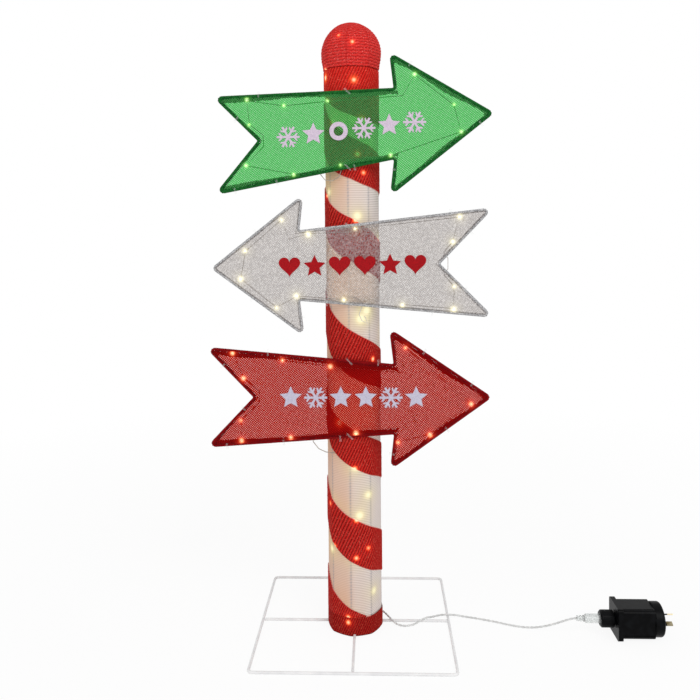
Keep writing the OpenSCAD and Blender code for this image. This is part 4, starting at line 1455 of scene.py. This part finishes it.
@dataclass
class ArrowSign:
    """One arrow sign: net, hem, wound edge, felt shapes and lamps."""

    name: str
    side: Side
    tail: float
    neck: float
    tip: float
    tail_width: float
    notch: float
    z: float
    slope: float
    lift: float
    net: GlitterNet
    edge: TinselEdge
    felt: Felt
    slot: str
    motifs: tuple
    shop: Workshop
    lamp_finish: bpy.types.Material
    barb_span: float = 207.0
    barb_sweep: float = 6.0
    neck_span: float = 102.5
    frame_y: float = -47.75
    net_y: float = -49.7
    hem_y: float = -49.05
    front_y: float = -50.2
    bead: float = 2.4
    hem_start: float = 4.6
    hem_widths: tuple = (9.5, 4.5, 9.5, 7.5, 4.5, 8.5, 4.2, 4.2)
    hem_spare: float = 1.5
    hem_least: float = 0.6
    hem_step: float = 2.5
    hem_rows: int = 5
    hem_share: float = 0.72
    hem_sway: float = 0.26
    hem_waves: float = 9.0
    hem_seed: int = 21
    hem_ruffle: float = 0.12
    bend: float = 3.5
    bend_steps: int = 4
    net_pitch: float = 2.5
    net_turn: float = 0.67
    net_depth: float = 0.5
    net_spare: float = 10.0
    net_share: float = 0.3
    wrap_pitch: float = 2.3
    wrap_radius: float = 2.1
    wrap_thread: float = 0.42
    wrap_step: float = 3.0
    felt_size: float = 16.5
    felt_thick: float = 1.3
    felt_side: float = 0.8
    felt_bevel: float = 0.5
    felt_hole: float = 0.52
    felt_spacing: float = 36.0
    felt_shift: float = 1.0
    lamp_length: float = 1.6
    fold: TinselEdge | None = None

    def rise(self) -> float:
        """Returns how far the sign climbs towards its tip for each unit."""
        return math.tan(math.radians(self.slope))

    def outline(self) -> np.ndarray:
        """Draws the arrow.

        Returns:
            Its eight corners as X and Z, anticlockwise seen from the front.
        """
        half = self.tail_width / 2
        barb = self.neck - self.barb_sweep
        raw = [(-self.tail, half), (self.neck, self.neck_span / 2 + self.lift),
               (barb, self.barb_span / 2 + self.lift), (self.tip, 0.0),
               (barb, self.lift - self.barb_span / 2), (self.neck, self.lift - self.neck_span / 2),
               (-self.tail, -half), (self.notch - self.tail, 0.0)]
        corners = np.array([(self.side.value * x, self.z + y + x * self.rise()) for x, y in raw])
        return corners[::-1] if self.side is Side.RIGHT else corners

    def rounded(self, corners: np.ndarray) -> np.ndarray:
        """Rounds the corners of an outline by the wire's bends.

        Args:
            corners: The outline.

        Returns:
            The rounded outline.
        """
        points = []
        for before, here, after in zip(np.roll(corners, 1, axis=0), corners, np.roll(corners, -1, axis=0)):
            a = (here - before) / np.linalg.norm(here - before)
            b = (after - here) / np.linalg.norm(after - here)
            turn = math.atan2(a[0] * b[1] - a[1] * b[0], a @ b)
            left = math.copysign(1, turn)
            side = np.array([-a[1], a[0]]) * left * self.bend
            middle = here - a * self.bend * math.tan(abs(turn) / 2) + side
            for k in range(self.bend_steps + 1):
                t = turn * k / self.bend_steps
                points.append(middle + [-side[0] * math.cos(t) + side[1] * math.sin(t),
                                        -side[0] * math.sin(t) - side[1] * math.cos(t)])
        return np.array(points)

    @staticmethod
    def hem_corners(corners: np.ndarray, widths: np.ndarray) -> np.ndarray:
        """Moves each side of an outline inwards by its own width.

        Args:
            corners: The outline, anticlockwise.
            widths: How far the side after each corner moves.

        Returns:
            The smaller outline.
        """
        normal = FeltShape.inward(corners)
        return np.array([corner + np.linalg.solve(normal[[i - 1, i]], widths[[i - 1, i]])
                         for i, corner in enumerate(corners)])

    @staticmethod
    def upright(flat: np.ndarray, y: float) -> np.ndarray:
        """Stands X and Z points up at a depth."""
        return np.stack([flat[:, 0], np.full(len(flat), y), flat[:, 1]], axis=1)

    def build(self) -> None:
        """Builds and dresses all pieces of the sign."""
        corners = self.outline()
        lamps = Lamps(self.name + "_sign_lamps").find()
        wire_line = self.rounded(FeltShape.inset(corners, self.bead))
        cloth = self.net_cloth(wire_line, lamps)
        hem = self.hem_strip(corners)
        bead = self.wound_edge(wire_line)
        felt = self.felt_row()
        self.lamp_pieces(lamps)

    def net_cloth(self, line: np.ndarray, lamps: Lamps) -> bpy.types.Object:
        """Builds the see-through net.

        Args:
            line: The wire's middle line.
            lamps: The sign's lamps.

        Returns:
            The net.
        """
        stood = self.upright(line, self.net_y)
        piece = self.shop.mesh(self.name + "_sign_net", stood, [tuple(range(len(line)))], smooth=False)
        middle = (line.min(axis=0) + line.max(axis=0)) / 2
        span = np.linalg.norm(line.max(axis=0) - line.min(axis=0)) + self.net_spare
        self.shop.forms.net.run(piece, self.net.make(), Pitch=self.net_pitch * MM, Gap_Share=self.net.gap,
                                Depth=self.net_depth * MM, Span=float(span) * MM, Turn=self.net_turn,
                                Middle_X=float(middle[0]) * MM, Middle_Z=float(middle[1]) * MM,
                                Plane_Y=self.net_y * MM)
        glow = lamps.glow(self.shop.places(piece), self.net.core, self.net.halo, self.net.halo_share)
        self.shop.mark(piece, glow=glow)
        return self.shop.hand_over(piece, self.slot, self.name + "_sign_mesh")

    def hem_strip(self, corners: np.ndarray) -> bpy.types.Object:
        """Builds the doubled hem behind the net's edge.

        Args:
            corners: The sign's corners.

        Returns:
            The hem.
        """
        rng = np.random.default_rng(self.hem_seed)
        widths = np.array(self.hem_widths)
        if self.side is Side.RIGHT:
            widths = np.roll(widths[::-1], -1)
        outer = FeltShape.inset(corners, self.hem_start)
        least = self.hem_start + self.hem_least
        inner = self.hem_corners(corners, np.maximum(widths + self.hem_spare, least))
        rows, points = self.hem_rows, []
        share = np.linspace(0, 1, rows)[:, None]
        ruffle = (-self.hem_ruffle, self.hem_ruffle)
        for i in range(len(corners)):
            j = (i + 1) % len(corners)
            count = max(6, int(np.linalg.norm(outer[j] - outer[i]) / self.hem_step))
            for t in np.linspace(0, 1, count, endpoint=False):
                a, b = outer[i] + (outer[j] - outer[i]) * t, inner[i] + (inner[j] - inner[i]) * t
                sway = self.hem_sway * math.sin(t * self.hem_waves + i)
                waver = self.hem_share + sway + rng.uniform(*ruffle)
                line = a + (b - a) * share * (waver if 0 < t else 1)
                points.append(np.insert(line, 1, self.hem_y + rng.uniform(*ruffle, rows), axis=1))
        grid = np.array(points)
        count = len(grid)
        flat = grid.transpose(1, 0, 2).reshape(-1, 3)
        faces = [face[::-1] for face in self.shop.grid(rows, count, True)]
        piece = self.shop.mesh(self.name + "_sign_hem", flat, faces, smooth=False)
        piece.data.materials.append((self.fold or self.edge).make())
        return self.shop.hand_over(piece, self.slot)

    def wound_edge(self, line: np.ndarray) -> bpy.types.Object:
        """Builds the bead of tinsel thread wound round the frame wire.

        Args:
            line: The wire's middle line.

        Returns:
            The bead.
        """
        count = len(line)
        ring = [(i, (i + 1) % count) for i in range(count)]
        piece = self.shop.mesh(self.name + "_sign_edge", self.upright(line, self.frame_y), [], ring)
        around = np.linalg.norm(np.roll(line, -1, axis=0) - line, axis=1).sum()
        turns = float(round(around / self.wrap_pitch))
        self.shop.forms.wound.run(piece, self.edge.make(), Radius=self.wrap_radius * MM,
                                  Thread=self.wrap_thread * MM, Turns=turns, Step=self.wrap_step * MM)
        return self.shop.hand_over(piece, self.slot)

    def felt_row(self) -> bpy.types.Object:
        """Builds the row of felt shapes on the net's front.

        Returns:
            The shapes as one piece.
        """
        points, faces = [], []
        rise = self.rise() * self.side.value
        first = -(len(self.motifs) - 1) / 2
        for index, kind in enumerate(self.motifs):
            x = (first + index) * self.felt_spacing + self.felt_shift
            self.felt_shape(kind, np.array([x, self.z + x * rise]), points, faces)
        piece = self.shop.mesh(self.name + "_sign_felt", np.vstack(points), faces, smooth=False)
        piece.data.materials.append(self.felt.make())
        return self.shop.hand_over(piece, self.slot)

    def felt_shape(self, kind: Motif, middle: np.ndarray, points: list, faces: list) -> None:
        """Adds one felt shape with a soft edge.

        Args:
            kind: Which shape.
            middle: Where it stands, as X and Z.
            points: Points so far, added to.
            faces: Faces so far, added to.
        """
        edge = FeltShape(kind).outline() * self.felt_size
        bevel = FeltShape.inset(edge, self.felt_bevel)
        loops = [(edge, 0.0), (edge, -self.felt_side * self.felt_thick), (bevel, -self.felt_thick)]
        if kind is Motif.RING:
            hole = edge * self.felt_hole
            loops += [(hole, -self.felt_thick), (hole, 0.0)]
        start = sum(len(p) for p in points)
        count = len(edge)
        for loop, depth in loops:
            points.append(self.upright(loop + middle, self.front_y + depth))
        for row in range(len(loops) - 1):
            for k in range(count):
                a, b = start + row * count + k, start + row * count + (k + 1) % count
                faces.append((a, b, b + count, a + count))
        if kind is not Motif.RING:
            faces.append(tuple(start + (len(loops) - 1) * count + k for k in range(count)))

    def lamp_pieces(self, lamps: Lamps) -> None:
        """Builds the sign's lamps.

        Args:
            lamps: Where they are.
        """
        aims = np.tile([0.0, -1.0, 0.0], (len(lamps.centres), 1))
        LampSet(self.name + "_lit_lamps", lamps, aims, self.shop, self.lamp_finish,
                length=self.lamp_length).build()


@dataclass
class LampSet:
    """The lit lamps of one string."""

    name: str
    lamps: Lamps
    aims: np.ndarray
    shop: Workshop
    finish: bpy.types.Material
    radius: float = 1.5
    length: float = 2.2

    def build(self) -> bpy.types.Object:
        """Builds one lamp at each place.

        Returns:
            The lamps as one piece.
        """
        piece = self.shop.mesh(self.name, self.lamps.centres, [])
        layer = piece.data.attributes.new("aim", "FLOAT_VECTOR", "POINT")
        layer.data.foreach_set("vector", np.asarray(self.aims, np.float32).ravel())
        self.shop.forms.lamps.run(piece, self.finish, Radius=self.radius * MM, Length=self.length * MM)
        self.shop.shade(piece.data)
        return self.shop.hand_over(piece, "lamp", self.lamps.node)


@dataclass
class Post:
    """The post: sleeve, band, hem, ball and the lamps inside."""

    shop: Workshop
    lamp_finish: bpy.types.Material
    shape: PostShape = field(default_factory=PostShape)

    def build(self) -> None:
        """Builds every cloth of the post and the lamps behind them."""
        lamps = Lamps("post_lamps").find()
        band_red = TinselCloth("band_tinsel", (94, 0, 2), (212, 44, 38), (252, 146, 124)).make()
        hem_red = TinselCloth("hem_tinsel", (80, 0, 2), (180, 32, 27), (240, 130, 104)).make()
        ball_red = TinselCloth("ball_tinsel", (146, 8, 12), (234, 58, 53), (255, 176, 168)).make()
        light = SignLight()
        Sleeve(self.shape, self.shop, lamps, light).build()
        SpiralBand(self.shape, self.shop, lamps, light, band_red, hem_red).build()
        Ball(self.shape, self.shop, lamps, ball_red).build()
        middle = np.array([0.0, -self.shape.forward, 0.0])
        out = (lamps.centres - middle) * [1, 1, 0]
        aims = out / np.linalg.norm(out, axis=1)[:, None]
        LampSet("post_lit_lamps", lamps, aims, self.shop, self.lamp_finish).build()


@dataclass
class Lead:
    """The clear twisted lead that lies on the ground from the post to the supply."""

    shop: Workshop
    diameter: float = 3.0
    lay: float = 13.0
    step: float = 1.0
    smoothing: int = 2
    route: tuple = (
        (29.1, 11.5, 9.4), (32.7, 13.4, 9.2), (36.2, 15.2, 8.9), (39, 16.6, 8.4), (42, 16.2, 7.7),
        (45.3, 12.5, 7), (48.3, 7, 6.6), (51.3, 1.2, 6.4), (54.3, -3.6, 5.6), (58, -8, 4), (63, -11.5, 2.2),
        (69, -14, 1.7), (77, -15, 1.7), (87, -12.5, 2.6), (95, -8, 4.6), (102, -3, 6.1), (108, 1.5, 6.1),
        (114, 5.5, 4.8), (122, 9.5, 4.6), (131, 10.5, 5.8), (140, 10.5, 6.1), (149, 11.5, 5.4),
        (157, 13.5, 3.4), (166, 13.5, 1.8), (180, 10, 1.7), (193, 5.5, 1.7), (207, 0.5, 1.7),
        (222, -6, 1.7), (234, -11, 1.7), (246, -15, 1.9), (258, -18.5, 3), (269, -21.5, 5.2),
        (280, -24.5, 8.6), (291, -27.2, 13), (301, -29.4, 17.6), (311, -30.7, 21.6), (318, -31, 23.5),
        (323, -31, 24))

    def smooth(self) -> np.ndarray:
        """Smooths the route as the CAD does.

        Returns:
            Its points in millimetres.
        """
        p = np.array(self.route, float)
        points = []
        for i in range(len(p) - 1):
            a, b, c, d = p[max(i - 1, 0)], p[i], p[i + 1], p[min(i + 2, len(p) - 1)]
            for t in (k / self.smoothing for k in range(self.smoothing)):
                points.append(0.5 * (2 * b + (c - a) * t + (2 * a - 5 * b + 4 * c - d) * t * t
                                     + (3 * b - a - 3 * c + d) * t ** 3))
        return np.array(points + [p[-1]])

    def build(self) -> bpy.types.Object:
        """Returns:
            The piece.
        """
        path = self.smooth()
        piece = self.shop.mesh("twisted_lead", path, [], [(i, i + 1) for i in range(len(path) - 1)])
        finish = Moulded("clear_lead", (216, 217, 216), (238, 239, 238), roughness=0.22, glass=0.1).make()
        self.shop.forms.twisted.run(piece, finish, Radius=self.diameter / 2 * MM, Lay=self.lay * MM,
                                    Step=self.step * MM)
        self.shop.shade(piece.data)
        self.shop.hand_over(piece, "clear_lead", "lead")
        return piece


@dataclass
class Supply:
    """The plug-in supply with its connector, collar and pins."""

    shop: Workshop

    def build(self) -> None:
        """Dresses the supply's CAD nodes."""
        black = Moulded("black_plastic", (4, 4, 5), (13, 14, 16), roughness=0.32, grain_mm=0.7,
                        gloss=0.07).make()
        clear = Moulded("clear_connector", (225, 228, 227), (240, 242, 241), roughness=0.16,
                        glass=0.7).make()
        self.shop.dress(black, "screw_collar", "supply_box", "plug_head", "pin_sleeves")
        self.shop.dress(clear, "strain_relief", "lead_connector")
        self.shop.dress(PinMetal().make(), "plug_pins")


@dataclass
class WireWork:
    """The base, the cages, the signs' frames, the strings and the ties."""

    shop: Workshop

    def build(self) -> None:
        """Dresses the wires, strings and ties, which keep their CAD shapes."""
        self.shop.dress(PaintedWire().make(), "base_ring", "base_side_bar", "base_front_bars", "post_cage",
                        "ball_cage", "upper_sign_frame", "middle_sign_frame", "lower_sign_frame")
        string = Moulded("string_wire", (150, 140, 128), (176, 168, 156), roughness=0.35).make()
        self.shop.dress(string, "post_light_string", "upper_sign_string", "lower_sign_string")
        pale = Moulded("pale_string_wire", (196, 190, 182), (214, 208, 200), roughness=0.35).make()
        self.shop.dress(pale, "middle_sign_string")
        tie = Moulded("clear_tie", (226, 227, 224), (240, 240, 238), roughness=0.3, shown=0.09).make()
        self.shop.dress(tie, "upper_sign_ties", "middle_sign_ties", "lower_sign_ties")


@dataclass
class Studio:
    """Camera, floor, lamps and world."""

    eye: Tone = (36.7, -1143.1, 591.9)
    lens: float = 39.394
    shift_down: float = -0.145
    yaw: float = -2.03
    pitch: float = 1.41
    roll: float = -0.46
    sensor: float = 36.0
    clip: tuple = (0.05, 200.0)
    around: float = 0.62
    lamp_size: float = 1.8
    lamps: tuple = (("key", (1.4, -2.1, 2.3), (0.0, 0.0, 0.5), 34.0),
                    ("fill", (-1.9, -1.8, 1.3), (0.0, 0.0, 0.45), 12.0))
    floor_size: float = 60.0
    floor_z: float = -0.3
    floor_tone: tuple = (0.97, 0.97, 0.97, 1)
    floor_light: float = 0.9
    floor_fade: tuple = (0.45, 1.5)

    def camera(self) -> None:
        """Sets the camera at the photograph's place."""
        yaw, pitch, roll = (math.radians(a) for a in (self.yaw, self.pitch, self.roll))
        ahead = Vector((math.sin(yaw) * math.cos(pitch), math.cos(yaw) * math.cos(pitch), -math.sin(pitch)))
        level = Vector((math.cos(yaw), -math.sin(yaw), 0))
        above = level.cross(ahead)
        right = level * math.cos(roll) + above * math.sin(roll)
        up = above * math.cos(roll) - level * math.sin(roll)
        data = bpy.data.cameras.new("camera")
        data.lens, data.sensor_width, data.shift_y = self.lens, self.sensor, self.shift_down
        data.clip_start, data.clip_end = self.clip
        camera = Workshop.put("camera", data)
        turn = Matrix((right, up, -ahead)).transposed()
        camera.matrix_world = Matrix.Translation(Vector(self.eye) * MM) @ turn.to_4x4()
        bpy.context.scene.camera = camera

    @staticmethod
    def seen_light(tree: NodeTree) -> Socket:
        """Works out which rays see the plain white background.

        Args:
            tree: The node tree that asks.

        Returns:
            1 for camera, glossy and transmission rays.
        """
        rays = tree.add("ShaderNodeLightPath").outputs
        either = tree.math("MAXIMUM", rays["Is Camera Ray"], rays["Is Glossy Ray"])
        return tree.math("MAXIMUM", either, rays["Is Transmission Ray"])

    def world(self) -> None:
        """Makes the world white where it is seen and plainer where it lights."""
        world = bpy.data.worlds.new("studio")
        bpy.context.scene.world = world
        world.use_nodes = True
        tree = NodeTree(world.node_tree)
        soft, seen = (tree.made("ShaderNodeBackground", Color=linear(WHITE), Strength=strength)
                      for strength in (self.around, 1.0))
        both = tree.blend(self.seen_light(tree), soft, seen)
        tree.feed(tree.add("ShaderNodeOutputWorld"), Surface=both)

    def floor(self) -> None:
        """Lays the plain white floor, which keeps the object's shadow."""
        half = self.floor_size / MM / 2
        corners = [(x * half, y * half, self.floor_z) for x, y in ((-1, -1), (1, -1), (1, 1), (-1, 1))]
        piece = Workshop.mesh("floor", np.array(corners), [(0, 1, 2, 3)])
        s = Shader("floor_white")
        place = s.add("ShaderNodeTexCoord").outputs["Object"]
        away = s.feed(s.add("ShaderNodeVectorMath", operation="LENGTH"), in0=place).outputs["Value"]
        near, far = self.floor_fade
        paler = s.made("ShaderNodeMapRange", Value=away, From_Min=near, From_Max=far, To_Min=self.floor_light)
        share = s.math("MULTIPLY", self.seen_light(s), paler)
        plain = s.made("ShaderNodeBsdfDiffuse", Color=self.floor_tone)
        s.show(s.blend(share, plain, s.made("ShaderNodeEmission")))
        piece.data.materials.append(s.material)

    def lamp(self, name: str, place: Tone, aim: Tone, power: float) -> None:
        """Hangs one soft lamp.

        Args:
            name: Its name.
            place: Where it hangs, in metres.
            aim: What it points at, in metres.
            power: Its power in watts.
        """
        data = bpy.data.lights.new(name, "AREA")
        data.shape, data.size, data.energy = "SQUARE", self.lamp_size, power
        turn = (Vector(aim) - Vector(place)).to_track_quat("-Z", "Y")
        Workshop.put(name, data).matrix_world = Matrix.Translation(place) @ turn.to_matrix().to_4x4()

    def build(self) -> None:
        """Sets up the floor, the world and both lamps."""
        bpy.context.scene.view_settings.view_transform = "Standard"
        self.world()
        self.floor()
        for lamp in self.lamps:
            self.lamp(*lamp)


def make_signs(shop: Workshop, lamp_finish: bpy.types.Material) -> list[ArrowSign]:
    """Lists the three signs.

    Args:
        shop: The workshop that builds them.
        lamp_finish: The lamps' material.

    Returns:
        The signs from the top down.
    """
    green = GlitterNet(
        "green_net", body=(26, 104, 46), bright=(118, 216, 124), hem=(30, 112, 44), deep=(8, 60, 24),
        hem_deep=(8, 60, 24), tint=(89, 203, 104), clear=0.6, hem_clear=0.14, gap=0.24,
        glow_stops=((0.0, BLACK), (0.3, (60, 110, 40)), (0.7, (190, 235, 140)), (1.0, (250, 255, 215))))
    silver = GlitterNet(
        "silver_net", body=(60, 58, 58), bright=(232, 229, 228), hem=(238, 236, 236), deep=(148, 146, 148),
        hem_deep=(190, 188, 190), tint=(216, 209, 204), clear=0.59, hem_clear=0.4, gap=0.2, weave=0.0,
        glow_stops=((0.0, BLACK), (0.3, (104, 98, 66)), (0.7, (220, 212, 160)), (1.0, (255, 250, 214))),
        grain=0.9, grain_mm=1.9, hem_width=3.6, glow=1.5, core=3.4, halo=10.0, halo_share=0.45)
    red = GlitterNet(
        "red_net", body=(118, 3, 5), bright=(206, 20, 18), hem=(124, 4, 8), deep=(88, 2, 6),
        hem_deep=(88, 2, 6), tint=(178, 42, 20), clear=0.56, hem_clear=0.06, gap=0.26, weave=0.8,
        glow_stops=((0.0, BLACK), (0.3, (150, 36, 20)), (0.65, (252, 150, 96)), (1.0, (255, 236, 184))),
        core=3.0, halo=7.0, halo_share=0.45)
    lilac = Felt("lilac_felt", (214, 198, 214), (192, 176, 196))
    pearl = Felt("pearl_felt", (200, 196, 212), (178, 174, 196))
    crimson = Felt("crimson_felt", (170, 12, 22), (138, 6, 14))
    snow = (Motif.FLAKE, Motif.STAR, Motif.RING, Motif.FLAKE, Motif.STAR, Motif.FLAKE)
    hearts = (Motif.HEART, Motif.STAR, Motif.HEART, Motif.HEART, Motif.STAR, Motif.HEART)
    stars = (Motif.STAR, Motif.FLAKE, Motif.STAR, Motif.STAR, Motif.FLAKE, Motif.STAR)
    return [
        ArrowSign("upper", Side.RIGHT, 198.5, 61, 205, 142.5, 64.5, 734, 6.0, 1.5, green,
                  TinselEdge("green_edge", (14, 66, 26), (44, 124, 56)), lilac, "green_mesh", snow, shop,
                  lamp_finish),
        ArrowSign("middle", Side.LEFT, 204.5, 74, 203.5, 158.5, 77.5, 540.5, -0.8, 1.5, silver,
                  TinselEdge("silver_edge", (116, 116, 118), (232, 231, 232)), crimson, "silver_mesh", hearts,
                  shop, lamp_finish, hem_widths=(4.0,) * 8,
                  fold=TinselEdge("silver_fold", (206, 204, 206), (252, 251, 252))),
        ArrowSign("lower", Side.RIGHT, 214.5, 58.5, 200.5, 147.5, 70.5, 351, 0.0, -3.0, red,
                  TinselEdge("red_edge", (98, 2, 6), (164, 18, 22)), pearl, "red_mesh", stars, shop,
                  lamp_finish),
    ]


def main() -> None:
    """Builds the whole scene in order."""
    logging.basicConfig(level=logging.INFO, format="%(name)s %(message)s")
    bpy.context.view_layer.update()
    studio = Studio()
    studio.camera()
    shop = Workshop()
    Lead(shop).build()
    WireWork(shop).build()
    Supply(shop).build()
    glass = LitLamp().make()
    Post(shop, glass).build()
    for sign in make_signs(shop, glass):
        sign.build()
    studio.build()


if __name__ == "__main__":
    main()
